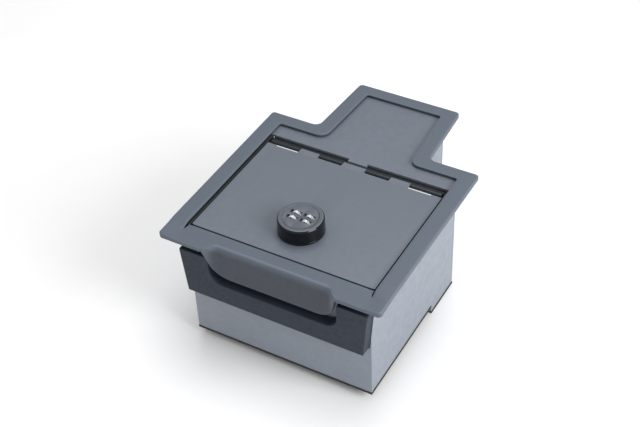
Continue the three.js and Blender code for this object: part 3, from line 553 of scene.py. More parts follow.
@kept
def lid_powder_coat(name):
    """Fine-textured powder coat over steel."""
    return powder_coat(name, colours().lid, 0.42, 0.9)


@kept
def box_powder_coat(name):
    """Smoother, paler powder coat on the box."""
    return powder_coat(name, colours().box, 0.4, 1.3)


@kept
def black_primer(name):
    """Thin matt near-black coat on the rails and floors; on the rails, under the trim's skirt, it
    is painted shade.
    """
    return powder_coat(name, colours().primer, 0.6, 0.7)


@kept
def black_seal(name):
    """Near-black, almost without shine: painted shade in the gap round the lid and inside the
    window's step.
    """
    made = Finish(name, 0.9, specular=0.15)
    tone = made.ranged(made.noise(2.5, 3), 0.8, 1.25)
    rough = (made.noise(1.2, 2), 0.84, 0.96)
    return made.coated(colours().seal, tone, rough, (made.noise(0.5, 2), 0.03, 0.5))


@kept
def bare_rubbed_steel(name):
    """Bright steel colour with fine cross scratches, on the pale strips in front of the lid's outer
    notches.
    """
    made = Finish(name, 0.42, 0.55)
    scratch = made.noise(0.5, 3, (1, 8, 1))
    tone = made.ranged(scratch, 0.88, 1.08)
    return made.coated(colours().bare, tone, (scratch, 0.34, 0.52), (scratch, 0.03, 0.5))


@kept
def matt_bracket_plastic(name):
    """Dark matt plastic with a coarse grain."""
    made = Finish(name, 0.66, specular=0.35)
    grain = made.noise(0.6, 3)
    cloud = made.ranged(made.noise(30, 3), 0.93, 1.07)
    # Paler on rounded edges: edge wear and a painted highlight.
    tone = made.times(made.times(cloud, made.ranged(grain, 0.95, 1.05)), made.lift(1.55))
    rough = (made.noise(4, 3), 0.58, 0.72)
    return made.coated(colours().bracket, tone, rough, (grain, 0.09, 0.6))


@kept
def satin_hinge_steel(name):
    """Plated steel drawn along the hinge."""
    made = Finish(name, 0.38, 0.75)
    drawn = made.noise(0.6, 3, (0.08, 1, 1))
    # Paler on rounded edges: edge wear and a painted highlight.
    tone = made.times(made.ranged(drawn, 0.9, 1.08), made.lift(1.2))
    return made.coated(colours().steel, tone, (drawn, 0.32, 0.46), (drawn, 0.02, 0.4))


@kept
def zinc_plate(name):
    """Zinc plating with a faint cloudy crystal pattern."""
    made = Finish(name, 0.36, 0.9)
    cloud = made.ranged(made.noise(6, 3), 0.9, 1.05)
    tone = made.times(cloud, made.ranged(made.cells(3), 0.96, 1.04, 0.0, 0.8))
    rough = (made.noise(2, 3), 0.3, 0.46)
    return made.coated(colours().zinc, tone, rough, (made.noise(0.4, 2), 0.01, 0.4))


@kept
def closed_cell_foam(name):
    """Black foam with small open pores on its skin."""
    made = Finish(name, 0.92, specular=0.25)
    pores = made.cells(0.9)
    depth = made.ranged(pores, 0.55, 1.1, 0.05, 0.6)
    tone = made.times(depth, made.ranged(made.noise(20, 3), 0.85, 1.2))
    rough = (made.noise(3, 3), 0.86, 0.97)
    return made.coated(colours().foam, tone, rough, (pores, 0.25, 0.7))


@kept
def gloss_black_knob(name):
    """Polished black plastic with faint handling haze."""
    made = Finish(name, 0.16, specular=0.3)
    made.shader.inputs["Coat Weight"].default_value = 0.05
    made.shader.inputs["Coat Roughness"].default_value = 0.08
    haze = made.noise(6, 4)
    tone = made.ranged(haze, 0.8, 1.3)
    rough = (haze, 0.13, 0.24)
    return made.coated(colours().gloss, tone, rough, (made.noise(0.8, 2), 0.006, 0.5))


@kept
def satin_cap(name):
    """Dark grey satin face of the knob, turned with faint rings, with a painted highlight on its
    rounded edges and chamfer.
    """
    made = Finish(name, 0.45)
    centre = ORIGIN + LOCK * MM
    moved = made.add("ShaderNodeMapping", {"Vector": made.place, "Location": tuple(-centre)})
    inputs = {"Vector": moved.outputs["Vector"], "Scale": 0.314 / (0.5 * MM), "Distortion": 0.6}
    rings = made.add("ShaderNodeTexWave", inputs, wave_type="RINGS", rings_direction="Z")
    # Much paler on rounded edges and on the knob's chamfer: mostly a painted highlight.
    tone = made.times(made.ranged(made.noise(9, 3), 0.94, 1.06), made.lift(2.1))
    rough = (made.noise(4, 3), 0.37, 0.47)
    return made.coated(colours().cap, tone, rough, (rings.outputs["Fac"], 0.004, 0.35))


@kept
def satin_nickel(name):
    """Nickel plate on the dials, brushed round their rims."""
    made = Finish(name, 0.28, 1.0)
    brushed = made.noise(0.25, 3, (1, 5, 1))
    tone = made.ranged(brushed, 0.9, 1.05)
    return made.coated(colours().nickel, tone, (brushed, 0.22, 0.36), (brushed, 0.006, 0.4))


# ---- trim
TRIM_STEPS = 8
SCOOP_COLUMNS = 14
SCOOP_MIDDLE = 6
WALL_ROWS = 9
SIDE_YS = (13.0, 21.0, 29.0, 38.0, 52.0)
WINDOW_YS = (31.5, 33.5, 36.5, 42.0, 52.0)
SEAM_STEP = 0.15  # between the skirt and the scoop's end
FOOT_EDGE = 0.45  # rounding of the skirt's lower edge
UNDERCUT_REACH = 4.0  # how far behind the front band its drop still holds
FALL_START = FRONT_BAND + 1.3  # where the side bands begin to fall


def scoop_share(depth):
    return min(max((depth - SCOOP_TOP) / (SCOOP_DEPTH - SCOOP_TOP), 0.0), 1.0)


def scoop_half(depth):
    """Half the scoop's width at a depth."""
    overhang = max(0.0, SCOOP_CORNER - (SCOOP_DEPTH - depth))
    rounding = SCOOP_CORNER - math.sqrt(max(0.0, SCOOP_CORNER**2 - overhang**2))
    return SCOOP_HALF - SCOOP_SLANT * scoop_share(depth) - rounding


def scoop_face(x, depth):
    """How far back the scoop's face is, and where its ends come forward."""
    half = scoop_half(depth)
    along = smooth(abs(x), half - SCOOP_FLARE, half)
    return SCOOP_SETBACK * (1 - along * (1 - scoop_share(depth)))


def scoop_columns():
    """(x, depth) of each column of the scoop from left to right."""
    half = []
    for i in range(SCOOP_COLUMNS + 1):
        turn = math.sin(math.pi / 2 * i / SCOOP_COLUMNS)
        depth = SCOOP_TOP + (SCOOP_DEPTH - SCOOP_TOP) * turn
        half.append((scoop_half(depth), max(depth, FRONT_SKIRT)))
    inner = half[-1][0]
    shares = [2 * i / SCOOP_MIDDLE - 1 for i in range(1, SCOOP_MIDDLE)]
    middle = [(inner * share, SCOOP_DEPTH) for share in shares]
    left = [(-x, depth) for x, depth in half]
    return left + middle + half[::-1]


def trim_plan(corners, corner_points, front, sides):
    """Points round the trim from its front left corner, whose own points are given."""
    (right_x, *_), (left_x, *_) = corners[1], corners[-1]
    points = corner_points + front + [(-x, y) for x, y in corner_points[::-1]]
    points += [(right_x, y) for y in sides]
    for i in range(2, len(corners)):
        points += corner_arc(corners, i, TRIM_STEPS)
    return points + [(left_x, y) for y in sides[::-1]]


def outer_corner(inset):
    """The outer outline's front left corner and three points beside the window's step."""
    x, front = TRIM_X - inset, inset
    radius = max(TRIM_CORNER - inset, 1.0)
    turned = rounded_corner((-x, front + 50), (-x, front), (0, front), radius, TRIM_STEPS - 3)
    step = WINDOW_X - mm(sizes().step_width)
    return turned + [(-step - beside, front) for beside in (0.6, 0.2, 0.0)]


def step_tip():
    """How far back the step into the front band starts."""
    return FRONT_BAND - mm(sizes().step_reach)


def window_corner(grow):
    """The window's front left corner, run on into the front band as a narrow step."""
    x, front, tip = WINDOW_X + grow, FRONT_BAND - grow, step_tip() - grow
    root = WINDOW_X - mm(sizes().step_width) - grow
    outside = [(-x, mixed(front + 2.5, tip, i / 5)) for i in range(5)]
    inside = [
        (-mixed(WINDOW_X, root, across), mixed(tip, front, along))
        for across, along in ((0.7, 0.3), (0.92, 0.65), (1.0, 1.0))
    ]
    return outside + [(-WINDOW_X, tip)] + inside


def t_corners(right):
    """A T's corners (x, y, radius) from its front left one, given those on the right."""
    left = [(-x, y, radius) for x, y, radius in right[::-1]]
    return left[-1:] + right + left[:-1]


def outer_corners(inset):
    x, rear, far = TRIM_X - inset, TRIM_DEPTH - inset, TRIM_END - inset
    corner = max(TRIM_CORNER - inset, 1.0)
    root = (ROOT_X - inset, rear, ROOT_CORNER + inset)
    end = (END_X - inset, far, max(END_CORNER - inset, 1.0))
    return t_corners([(x, inset, corner), (x, rear, corner), root, end])


def window_corners(grow):
    """The window's corners, let out by grow."""
    x, corner = WINDOW_X + grow, WINDOW_CORNER + grow
    front, rear = FRONT_BAND - grow, TRIM_DEPTH - REAR_BAND + grow
    root = (ROOT_X - TONGUE_BAND + grow, rear, WINDOW_ROOT_CORNER - grow)
    end = (END_X - TONGUE_BAND + grow, TRIM_END - TONGUE_END_BAND + grow, corner)
    return t_corners([(x, front, corner), (x, rear, corner), root, end])


def front_fall(x, y):
    """How far the trim's top face lies below its bands' level, in the front band and its ends."""
    s = sizes()
    drop = mm(s.front_drop)
    if abs(x) < WINDOW_X - WELD:
        return drop if y < FRONT_BAND + UNDERCUT_REACH else 0.0
    along = min((abs(x) - WINDOW_X) / SIDE_BAND, 1.0)
    return (drop - mm(s.corner_rise) * along) * (1 - smooth(y, step_tip(), FALL_START))


def skirt_depth(y):
    return mixed(FRONT_SKIRT, TRIM_SKIRT, min(y / FRONT_BAND, 1.0))


def lip_profile():
    """(inset, drop, share of worn edge and painted highlight) down the trim's outer lip, with both
    its breaks rounded.
    """
    lip, edge = mm(sizes().lip), mm(sizes().lip_break)
    return [
        (lip + edge, 0.0, 0.0),
        (lip, edge * 0.18, 1.0),
        (lip - edge * 0.8, edge * 0.75, HALF_WORN_AND_LIT),
        (edge * 0.75, lip - edge * 0.8, HALF_WORN_AND_LIT),
        (edge * 0.18, lip, 1.0),
        (0.0, lip + edge, 0.0),
    ]


def fillet_profile(count):
    radius = mm(sizes().scoop_fillet)
    turns = [math.pi / 2 * i / (count - 1) for i in range(count)]
    return [(radius * (1 - math.sin(a)), radius * (1 - math.cos(a))) for a in turns]


def trim_stations():
    """The trim's shell as loops from the window's foot over the top and down to the underside."""
    s = sizes()
    columns = scoop_columns()
    seam = SCOOP_HALF + SEAM_STEP
    front_xs = [-seam] + [x for x, _ in columns] + [seam]
    depths = [FRONT_SKIRT] + [depth for _, depth in columns] + [FRONT_SKIRT]
    first = TRIM_STEPS + 1

    def window(grow, z, follow=1.0):
        front = [(x, FRONT_BAND - grow) for x in front_xs]
        plan = trim_plan(window_corners(grow), window_corner(grow), front, WINDOW_YS)
        return [Vector((x, y, z - front_fall(x, y) * follow)) for x, y in plan]

    def outer(inset):
        front = [(x, inset) for x in front_xs]
        plan = trim_plan(outer_corners(inset), outer_corner(inset), front, SIDE_YS)
        return [Vector((x, y, 0)) for x, y in plan]

    def in_scoop(i):
        return 0 < i - first < len(front_xs) - 1

    stations, shares = [], []

    def station(points, share):
        stations.append([tuple(p) for p in points])
        shares.append(share)

    edge, undercut, window_lip = mm(s.window_edge), mm(s.undercut), mm(s.window_lip)
    inner = window(edge, 0)
    station(window(undercut, -TRIM_SHEET, BAND_SAG), 0.0)
    for grow in (undercut, 0):
        station(window(grow, -window_lip), 0.0)
    station(window(0, -edge), 0.0)
    station(window(edge * 0.3, -edge * 0.3), 0.6)
    station(inner, 0.1)

    lip = lip_profile()
    fillet = fillet_profile(len(lip))
    lip_rows = []
    for (inset, drop, share), (fillet_inset, fillet_drop) in zip(lip, fillet):
        row = outer(inset)
        for i, p in enumerate(row):
            p.z = -drop
            if in_scoop(i):
                blend = 1 - smooth(abs(p.x), SCOOP_HALF - SCOOP_FLARE, SCOOP_HALF)
                local_drop = mixed(drop, fillet_drop, blend)
                face = scoop_face(p.x, local_drop + mm(s.front_drop))
                p.y = face + mixed(inset, fillet_inset, blend)
                p.z = -local_drop
        lip_rows.append((row, share))
    top_row = lip_rows[0][0]
    fall = [front_fall(p.x, p.y) for p in top_row]
    for share in (0.2, 0.4, 0.6, 0.8):
        middle = [a.lerp(b, share) for a, b in zip(inner, top_row)]
        station([(p.x, p.y, -front_fall(p.x, p.y)) for p in middle], 0.0)
    for row, share in lip_rows:
        station([p - Vector((0, 0, drop)) for p, drop in zip(row, fall)], share)

    lip_foot = stations[-1]
    outline = outer(0)
    foot_depths = [
        depths[i - first] if in_scoop(i) else skirt_depth(p.y) for i, p in enumerate(outline)
    ]
    for row_number in range(1, WALL_ROWS + 1):
        row = []
        for i, p in enumerate(outline):
            foot = -foot_depths[i] + FOOT_EDGE
            z = mixed(lip_foot[i][2], foot, row_number / WALL_ROWS)
            y = scoop_face(p.x, -z) if in_scoop(i) else p.y
            row.append((p.x, y, z))
        station(row, 0.0)

    wall = outer(TRIM_SKIRT_WALL)
    back = SCOOP_SETBACK + SCOOP_WALL
    heels = [
        Vector((p.x, scoop_face(p.x, foot_depths[i]), 0)) if in_scoop(i) else p
        for i, p in enumerate(outline)
    ]
    inner_wall = [Vector((outline[i].x, back, 0)) if in_scoop(i) else p for i, p in enumerate(wall)]

    def foot_row(toward, up, share):
        row = []
        for i, (a, b) in enumerate(zip(heels, inner_wall)):
            across = (b - a).normalized() * FOOT_EDGE
            p = a + across * toward if toward < 2 else b - across * (toward - 2)
            row.append((p.x, p.y, -foot_depths[i] + FOOT_EDGE * up))
        station(row, share)

    foot_row(0.3, 0.3, 1.0)
    foot_row(1.0, 0.0, 0.2)
    foot_row(3.0, 0.0, 0.0)
    foot_row(2.0, 1.0, 0.0)
    under = [-TRIM_SHEET - front_fall(p.x, p.y) * BAND_SAG for p in inner_wall]
    station([(p.x, p.y, z) for p, z in zip(inner_wall, under)], 0.0)
    return stations, shares


# ---- lid and hinge
LEAF_STEP = 0.7  # from the leaf's roll up to its underside
LEAF_SHEET = 2.0
LEAF_BEHIND = 3.7  # from the pin to the leaf's flat part


def lid_curl():
    """The lid's rolled end in y and z, from its upper face round the pin and back."""
    radius = SHEET_TOP - HINGE.z
    edge = HINGE.y - radius - NOTCH_GAP
    centre = (HINGE.y, HINGE.z)
    outside = arc(centre, radius, 90, -155, 28)
    inside = arc(centre, PIN_BORE, -155, 180, 30)
    return [(edge, SHEET_TOP), *outside, *inside, (edge, SHEET_UNDER)], edge


def leaf_curl():
    """The fixed leaf's rolled end in y and z, from its upper face round the pin and back."""
    radius = HINGE.z - LEAF_BOX[0].z
    low = LEAF_BOX[0].z + LEAF_STEP
    high, edge = low + LEAF_SHEET, HINGE.y + LEAF_BEHIND
    start = -math.degrees(math.asin((HINGE.z - high) / radius))
    end = -math.degrees(math.asin((HINGE.z - low) / radius))
    centre = (HINGE.y, HINGE.z)
    outside = arc(centre, radius, start, 300, 34)
    inside = arc(centre, PIN_BORE, 300, -30, 32)
    last = arc(centre, radius, end, end, 1)[0]
    return [(edge, high), *outside, *inside, last, (edge, low)], edge


def curled_plate(low, high, edge, spans, curl):
    """A plate from low to high with an end rolled to the curl at each span of its edge."""
    bm = new_mesh()
    block(bm, low, high)
    for x in sorted({x for span in spans for x in span}):
        if low[0] < x < high[0]:
            sliced(bm, (x, 0, 0), (1, 0, 0))
    for left, right in spans:
        points = [(left, y, z) for y, z in curl]
        extruded(bm, points, (right - left, 0, 0))
    joints = [
        f
        for f in bm.faces
        if all(abs(v.co.y - edge) < WELD for v in f.verts)
        and any(a - WELD < f.calc_center_median().x < b + WELD for a, b in spans)
    ]
    bmesh.ops.delete(bm, geom=joints, context="FACES_ONLY")
    bmesh.ops.remove_doubles(bm, verts=bm.verts, dist=WELD)
    return bm


STEP_SHADE_STRIP = (-6.0, -5.5)  # heights of the near-black block under the window's step: painted shade inside that step
SCOOP_SHADE_DEPTHS = (5.0, 10.0)  # where the painted shade in the scoop begins and is full, downwards
SCOOP_SHADE_BACK = (2.0, 7.0)  # and backwards


class SAFE_OT_trim(bpy.types.Operator):
    """Moulds the T-shaped trim with its falling front band and finger scoop"""

    bl_idname = "console_safe.trim"
    bl_label = "Trim"

    def execute(self, context):
        bm = new_mesh()
        stations, shares = trim_stations()
        loft(bm, stations, shares)
        # The window's undercut wall and the ledge under its lip take the near-black finish: painted
        # shade in the gap round the lid.
        shaded_wall_points = {tuple(round(c, 2) for c in p) for row in stations[:3] for p in row}
        for face in bm.faces:
            if all(tuple(round(c, 2) for c in v.co) in shaded_wall_points for v in face.verts):
                face.material_index = 1
        # Deep in the finger scoop the attribute goes below 0, which the trim's finish turns into
        # painted shade.
        for v in bm.verts:
            inside = smooth(-v.co.z, *SCOOP_SHADE_DEPTHS) * smooth(v.co.y, *SCOOP_SHADE_BACK)
            if abs(v.co.x) < SCOOP_HALF and v.co.y < SCOOP_SETBACK + 1:
                mark_edge(bm, [v], -inside)
        # A near-black block under each step: painted shade inside the step.
        for side in (-1, 1):
            near, far = sorted((side * (WINDOW_X - 3), side * (WINDOW_X + 5)))
            low, high = (near, step_tip() - 4, STEP_SHADE_STRIP[0]), (far, FRONT_BAND, STEP_SHADE_STRIP[1])
            strip = block(bm, low, high)
            for face in {f for v in strip for f in v.link_faces}:
                face.material_index = 1
        materials = [grained_trim_plastic(), black_seal()]
        finished(bm, "trim_moulding", "trim_frame", materials, "trim_plastic", 50, even=False)
        return {"FINISHED"}


class SAFE_OT_lid(bpy.types.Operator):
    """Presses the lid, rolls its knuckles and gives it pale steel-coloured strips in front of its
    outer notches
    """

    bl_idname = "console_safe.lid"
    bl_label = "Lid"

    def execute(self, context):
        s = sizes()
        curl, edge = lid_curl()
        inner, outer = INNER_NOTCH[1] + KNUCKLE_GAP, OUTER_NOTCH - KNUCKLE_GAP
        middle = INNER_NOTCH[0] - KNUCKLE_GAP
        spans = [(-outer, -inner), (-middle, middle), (inner, outer)]
        low = (LID_BOX[0].x, LID_BOX[0].y, SHEET_UNDER)
        bm = curled_plate(low, (LID_BOX[1].x, edge, SHEET_TOP), edge, spans, curl)
        corners = [
            e
            for e in sharp_edges(bm, 60)
            if all(v.co.y < LID_BOX[0].y + WELD for v in e.verts)
            and abs(e.verts[0].co.z - e.verts[1].co.z) > 1
        ]
        bevelled(bm, corners, mm(s.lid_corner), 6)
        strip_end = OUTER_NOTCH + mm(s.bare_width)
        for x in (-strip_end, -OUTER_NOTCH, OUTER_NOTCH, strip_end):
            sliced(bm, (x, 0, 0), (1, 0, 0))
        strip_front = edge - mm(s.bare_strip)
        sliced(bm, (0, strip_front, 0), (0, 1, 0))
        soften(bm, mm(s.lid_edge), 3, degrees=50)
        # Faces in front of each outer notch take the pale steel-coloured finish.
        for face in bm.faces:
            middle = face.calc_center_median()
            in_strip = strip_front < middle.y < edge + WELD
            if in_strip and OUTER_NOTCH < abs(middle.x) < strip_end and middle.z > SHEET_UNDER + 1:
                face.material_index = 1
        materials = [lid_powder_coat(), bare_rubbed_steel()]
        piece = finished(bm, "lid_panel", "lid_plate", materials, "lid_coat", even=False)
        bore = bmesh.new()
        place = Matrix.Translation((LOCK.x, LOCK.y, SHEET_TOP))
        size = {"radius1": LOCK_HOLE, "radius2": LOCK_HOLE, "depth": 20}
        bmesh.ops.create_cone(bore, cap_ends=True, segments=64, matrix=place, **size)
        even_normals(cut(piece, bore))
        return {"FINISHED"}


class SAFE_OT_hinge(bpy.types.Operator):
    """Rolls the hinge's fixed leaf round its pin"""

    bl_idname = "console_safe.hinge"
    bl_label = "Hinge"

    def execute(self, context):
        s = sizes()
        curl, edge = leaf_curl()
        end = LEAF_BOX[1].x
        inner = (INNER_NOTCH[0] + KNUCKLE_GAP, INNER_NOTCH[1] - KNUCKLE_GAP)
        outer = (OUTER_NOTCH + KNUCKLE_GAP, end)
        right = [inner, outer]
        spans = [(-b, -a) for a, b in right] + right
        low = (-end, edge, curl[-1][1])
        high = (end, LEAF_BOX[1].y, curl[0][1])
        bm = curled_plate(low, high, edge, spans, curl)
        soften(bm, mm(s.small_edge), 2, degrees=50)
        steel = satin_hinge_steel()
        finished(bm, "hinge_fixed_leaf", "hinge_leaf", [steel], "hinge_steel")
        softened("hinge_pin", "hinge_rod", steel, "hinge_steel", s.small_edge)
        return {"FINISHED"}


def softened(node, name, material, slot, width):
    """A piece with its CAD node's own shape and rounded edges."""
    bm = cad_copy(node)
    soften(bm, mm(width))
    return finished(bm, name, node, [material], slot)


BOX_SHEETS = ("front_wall", "left_wall", "right_wall", "rear_wall", "floor_riser")
BOX_SHEETS += ("tongue_wall_left", "tongue_wall_right", "tongue_end_wall", "tongue_floor")
DARK_SHEETS = ("floor_front", "floor_rear", "side_rail_left", "side_rail_right", "front_rail")
NEAR_BLACK_TOPS = ("left_wall", "right_wall")
TOP_STRIP = 0.4  # how far down a near-black top reaches


class SAFE_OT_box(bpy.types.Operator):
    """Folds the box's walls, floors and rails"""

    bl_idname = "console_safe.box"
    bl_label = "Box"

    def execute(self, context):
        edge = sizes().sheet_edge
        for node in BOX_SHEETS:
            piece = softened(node, node + "_sheet", box_powder_coat(), "box_coat", edge)
            if node in NEAR_BLACK_TOPS:
                top = max(v.co.z for v in piece.data.vertices)
                piece.data.materials.append(black_primer())
                for face in piece.data.polygons:
                    if face.center.z > top - TOP_STRIP * MM:
                        face.material_index = 1
        # Floors and rails take the near-black coat; on the rails, under the trim's skirt, it is
        # painted shade.
        for node in DARK_SHEETS:
            softened(node, node + "_sheet", black_primer(), "dark_coat", edge)
        return {"FINISHED"}


class SAFE_OT_pressings(bpy.types.Operator):
    """Presses the rear cover, the lid's stiffening angles and the lock's keeper"""

    bl_idname = "console_safe.pressings"
    bl_label = "Cover, ribs and keeper"

    def execute(self, context):
        s, coat = sizes(), lid_powder_coat()
        softened("rear_cover", "rear_cover_panel", coat, "lid_coat", s.lid_edge)
        for node in ("lid_rib_left", "lid_rib_right", "lid_rib_front"):
            softened(node, node + "_angle", coat, "lid_coat", s.small_edge)
        softened("latch_keeper", "latch_keeper_angle", zinc_plate(), "zinc", s.small_edge)
        return {"FINISHED"}


TROUGH_HALF = 73.0
TROUGH_LEVEL = -53.0
TROUGH_CORNER = 14.0
BRACKET_CORNER = 1.5


class SAFE_OT_bracket(bpy.types.Operator):
    """Moulds the bracket across the box's front"""

    bl_idname = "console_safe.bracket"
    bl_label = "Front bracket"

    def execute(self, context):
        low, high = BRACKET_BOX
        foot = high.x - mm(sizes().bracket_taper)
        right = [(foot, low.z), (high.x, high.z), (TROUGH_HALF, high.z)]
        right = [(*point, BRACKET_CORNER) for point in right]
        right.append((TROUGH_HALF, TROUGH_LEVEL, TROUGH_CORNER))
        left = [(-x, z, radius) for x, z, radius in right[::-1]]
        outline = rounded_outline(right + left)
        bm = new_mesh()
        extruded(bm, [(x, low.y, z) for x, z in outline], (0, high.y - low.y, 0))
        soften(bm, mm(sizes().bracket_edge), 3, degrees=50)
        names = ("front_bracket_moulding", "front_bracket")
        finished(bm, *names, [matt_bracket_plastic()], "bracket_plastic")
        return {"FINISHED"}


# ---- lock
KNOB_FOOT = 24.3
KNOB_TOP_RADIUS = 24.0
KNOB_CHAMFER = 1.7
KNOB_BORE = 18.6
KNOB_HUB = 5.3
KNOB_FLOOR = 2.8  # thickness under the cap and dials
SATIN_RIM = 0.7  # how far down the knob's satin top reaches
CAP_EDGE = 0.12
NECK_RADIUS = 9.25
SPINDLE_BORE = 5.12
SHOULDER_GAP = 0.3  # between the lock's base and the lid


def turned(profile, name, node, materials, satin_above=math.inf):
    """Spins a part of the lock, and gives its second finish to what lies above a height."""
    bm = new_mesh()
    lathe(bm, profile)
    soften(bm, mm(sizes().knob_edge), 3, degrees=20)
    bmesh.ops.translate(bm, vec=(LOCK.x, LOCK.y, 0), verts=bm.verts)
    for face in bm.faces:
        face.material_index = int(face.calc_center_median().z > satin_above)
    finished(bm, name, node, materials, "knob_gloss")


class SAFE_OT_knob(bpy.types.Operator):
    """Turns the knob and fits its satin cap and dials"""

    bl_idname = "console_safe.knob"
    bl_label = "Knob and dials"

    def execute(self, context):
        s = sizes()
        low, high = measured("knob_body")
        floor = low.z + KNOB_FLOOR
        profile = [(KNOB_HUB, low.z), (KNOB_FOOT, low.z)]
        profile.append((KNOB_TOP_RADIUS, high.z - KNOB_CHAMFER))
        profile.append((KNOB_TOP_RADIUS - KNOB_CHAMFER, high.z))
        profile += [(KNOB_BORE, high.z), (KNOB_BORE, floor), (KNOB_HUB, floor)]
        materials = [gloss_black_knob(), satin_cap()]
        turned(profile, "knob_shell", "knob_body", materials, high.z - SATIN_RIM)
        face = cad_copy("knob_cap")
        raised = [v for v in face.verts if v.co.z > measured("knob_cap")[1].z - WELD]
        bmesh.ops.translate(face, vec=(0, 0, mm(s.cap_rise)), verts=raised)
        soften(face, CAP_EDGE)
        finished(face, "knob_face", "knob_cap", [satin_cap()], "cap_satin")
        for side in ("left", "right"):
            node = "dial_axle_" + side
            softened(node, node + "_pin", zinc_plate(), "zinc", s.small_edge)
        for number in range(1, 5):
            node = f"dial_{number}"
            softened(node, f"dial_wheel_{number}", satin_nickel(), "nickel", s.small_edge)
        return {"FINISHED"}


class SAFE_OT_lock(bpy.types.Operator):
    """Builds the lock's base, its fixings and the cam under the lid"""

    bl_idname = "console_safe.lock"
    bl_label = "Lock"

    def execute(self, context):
        low, high = measured("lock_base")
        shoulder = SHEET_TOP + SHOULDER_GAP
        profile = [(SPINDLE_BORE, low.z), (NECK_RADIUS, low.z), (NECK_RADIUS, shoulder)]
        profile += [(high.x, shoulder), (high.x, high.z), (SPINDLE_BORE, high.z)]
        turned(profile, "lock_base_ring", "lock_base", [gloss_black_knob()])
        forms = {"washer": "ring", "nut": "hexagon", "spindle": "rod", "cam": "bar"}
        for part, form in forms.items():
            node = "lock_" + part
            softened(node, f"{node}_{form}", zinc_plate(), "zinc", sizes().small_edge)
        screw("cam_screw")
        return {"FINISHED"}


# ---- screws
SHANKS = {"cam_screw": (2.0, 2.2)}  # a screw's shank radius and head height
USUAL_SHANK = (1.8, 1.8)
DOME = 1.6  # radius of a head's dome over the head's own
PITCH = 0.8
THREAD_START, THREAD_END = 0.3, 1.2  # from the head, and short of the tip
TIP = 0.6  # the tip's length, and its share of the shank's radius
THREAD_ROOT = 0.86  # share of the shank's radius
THREAD = ((THREAD_ROOT, 0.3), (1.0, 0.65), (1.0, 0.75))  # share of radius, share of pitch
RECESS_REACH = 0.55  # share of the head's radius
RECESS_ARM = 0.22  # width of a recess's arm over its length
RECESS_TAPER = 0.6
RECESS_TURN = math.radians(20)


def screw(node):
    """A pan-head screw with a cross recess, in the place of its CAD node."""
    low, high = measured(node)
    span = high - low
    along_y = span.y > span.x + 1
    centre = (low + high) / 2
    radius = span.x / 2
    total = span.y if along_y else span.z
    shank, head = SHANKS.get(node, USUAL_SHANK)
    dome = arc((0, radius * DOME - 0.01), radius * DOME, -90, -55, 6)
    bm = new_mesh()
    profile = [(x, z) for x, z in dome if x < radius - 0.3]
    profile += [(radius, head * 0.62), (radius, head), (shank, head)]
    for i in range(int((total - head - THREAD_END) / PITCH)):
        z = head + THREAD_START + i * PITCH
        profile += [(shank * share, z + PITCH * height) for share, height in THREAD]
    profile += [(shank * THREAD_ROOT, total - TIP), (shank * TIP, total), (0, total)]
    lathe(bm, profile, 32, closed=False)
    place = Matrix.Translation((centre.x, centre.y, low.z))
    if along_y:
        place = Matrix.Translation((centre.x, high.y, centre.z))
        place = place @ Matrix.Rotation(math.radians(90), 4, "X")
    bmesh.ops.transform(bm, matrix=place, verts=bm.verts)
    piece = finished(bm, node + "_pan_head", node, [zinc_plate()], "zinc", 35, even=False)
    depth, arm = mm(sizes().screw_recess), radius * RECESS_REACH
    stopped = Matrix.Rotation(RECESS_TURN, 4, "Z")
    side = arm * RECESS_ARM
    for half_x, half_y, deep in ((arm, side, depth), (side, arm, depth * 0.9)):
        recess = bmesh.new()
        for v in block(recess, (-half_x, -half_y, -1), (half_x, half_y, deep)):
            if v.co.z > 0:
                v.co.x *= RECESS_TAPER
                v.co.y *= RECESS_TAPER
        bmesh.ops.transform(recess, matrix=place @ stopped, verts=recess.verts)
        cut(piece, recess)


class SAFE_OT_screws(bpy.types.Operator):
    """Drives the screws of the trim, the hinge and the bracket"""

    bl_idname = "console_safe.screws"
    bl_label = "Screws"

    def execute(self, context):
        for kind, count in (("trim", 6), ("hinge", 4), ("bracket", 2)):
            for number in range(1, count + 1):
                screw(f"{kind}_screw_{number}")
        return {"FINISHED"}


MAT_EDGE = 0.8


class SAFE_OT_mats(bpy.types.Operator):
    """Cuts the foam mats and lays them on the floors"""

    bl_idname = "console_safe.mats"
    bl_label = "Foam mats"

    def execute(self, context):
        for node in ("main_mat", "well_mat", "tongue_mat"):
            low, high = measured(node)
            bm = new_mesh()
            radius = mm(sizes().mat_corner)
            corners = [(low.x, low.y), (high.x, low.y), (high.x, high.y), (low.x, high.y)]
            outline = rounded_outline([(x, y, radius) for x, y in corners], 6)
            extruded(bm, [(x, y, low.z) for x, y in outline], (0, 0, high.z - low.z))
            soften(bm, MAT_EDGE, 3, degrees=50)
            piece = finished(bm, node + "_foam", node, [closed_cell_foam()], "foam")
        return {"FINISHED"}


# ---- stage
CAMERA_PLACE = Vector((0.49904, -0.88593, 0.98899))
CAMERA_TARGET = Vector((-0.00397, -0.04283, 0.13684))
CAMERA_ROLL = math.radians(-2.545)
CAMERA_LENS = 70.98
FLOOR_HALF = 4.0
PAPER = (0.93, 0.93, 0.935)


def aimed(place):
    """The place of a camera or light that looks at the safe."""
    turn = (CAMERA_TARGET - Vector(place)).to_track_quat("-Z", "Y")
    return Matrix.Translation(place) @ turn.to_matrix().to_4x4()


def soft_light(name, watts, place, size):
    light = bpy.data.lights.new(name, "AREA")
    light.shape = "DISK"
    light.size = size
    light.energy = watts
    linked(name, light).matrix_world = aimed(place)


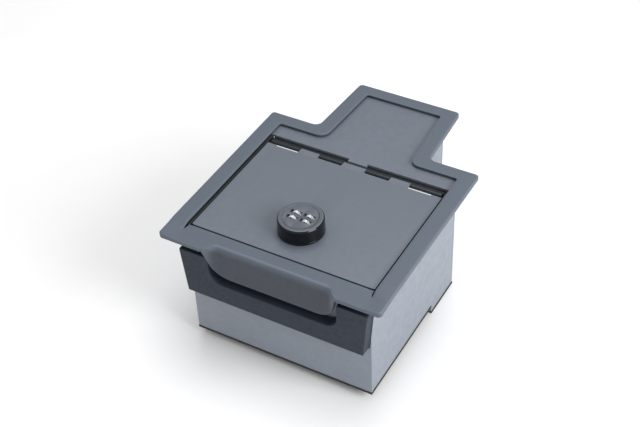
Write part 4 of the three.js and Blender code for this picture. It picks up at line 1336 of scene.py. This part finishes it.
class SAFE_OT_stage(bpy.types.Operator):
    """Sets the camera, the soft lights and the pale floor"""

    bl_idname = "console_safe.stage"
    bl_label = "Stage"

    def execute(self, context):
        scene = context.scene
        studio = scene.safe_studio
        camera = linked("camera", bpy.data.cameras.new("camera"))
        scene.camera = camera
        camera.data.lens = CAMERA_LENS
        camera.matrix_world = aimed(CAMERA_PLACE) @ Matrix.Rotation(CAMERA_ROLL, 4, "Z")

        soft_light("key_light", studio.key, (1.5, -0.25, 1.05), 1.1)
        soft_light("top_light", studio.top, (-0.1, 0.45, 1.9), 1.4)
        soft_light("fill_light", studio.fill, (-0.35, -1.7, 0.75), 1.2)

        world = bpy.data.worlds.new("surround")
        scene.world = world
        world.use_nodes = True
        sky = world.node_tree.nodes["Background"]
        sky.inputs["Color"].default_value = (1, 1, 1, 1)
        sky.inputs["Strength"].default_value = studio.sky
        scene.view_settings.view_transform = "Standard"

        bm = bmesh.new()
        bmesh.ops.create_grid(bm, x_segments=4, y_segments=4, size=FLOOR_HALF)
        mesh = bpy.data.meshes.new("floor")
        bm.to_mesh(mesh)
        bm.free()
        paper = Finish("pale_paper", 0.85)
        tone = paper.ranged(paper.noise(60), 0.99, 1.0)
        paper.feed("Base Color", paper.tinted(PAPER, tone))
        mesh.materials.append(paper.material)
        linked("floor", mesh)
        return {"FINISHED"}


class SAFE_PT_panel(bpy.types.Panel):
    """Sizes, colours and builders of the console safe"""

    bl_idname = "SAFE_PT_panel"
    bl_label = "Console safe"
    bl_space_type = "VIEW_3D"
    bl_region_type = "UI"
    bl_category = "Console safe"

    def draw(self, context):
        scene = context.scene
        for name, group in GROUPS.items():
            column = self.layout.column(align=True)
            for setting in group.__annotations__:
                column.prop(getattr(scene, name), setting)
        for operator in OPERATORS:
            self.layout.operator(operator.bl_idname)


GROUPS = {"safe_sizes": SafeSizes, "safe_colours": SafeColours, "safe_studio": SafeStudio}
OPERATORS = (
    SAFE_OT_stage,
    SAFE_OT_trim,
    SAFE_OT_lid,
    SAFE_OT_pressings,
    SAFE_OT_hinge,
    SAFE_OT_box,
    SAFE_OT_bracket,
    SAFE_OT_knob,
    SAFE_OT_lock,
    SAFE_OT_screws,
    SAFE_OT_mats,
)


CLASSES = (*GROUPS.values(), *OPERATORS, SAFE_PT_panel)


def register():
    for cls in CLASSES:
        bpy.utils.register_class(cls)
    for name, group in GROUPS.items():
        setattr(bpy.types.Scene, name, PointerProperty(type=group))


def unregister():
    for name in GROUPS:
        delattr(bpy.types.Scene, name)
    for cls in reversed(CLASSES):
        bpy.utils.unregister_class(cls)


def main():
    register()
    for operator in OPERATORS:
        group, name = operator.bl_idname.split(".")
        getattr(getattr(bpy.ops, group), name)()


if __name__ == "__main__":
    main()
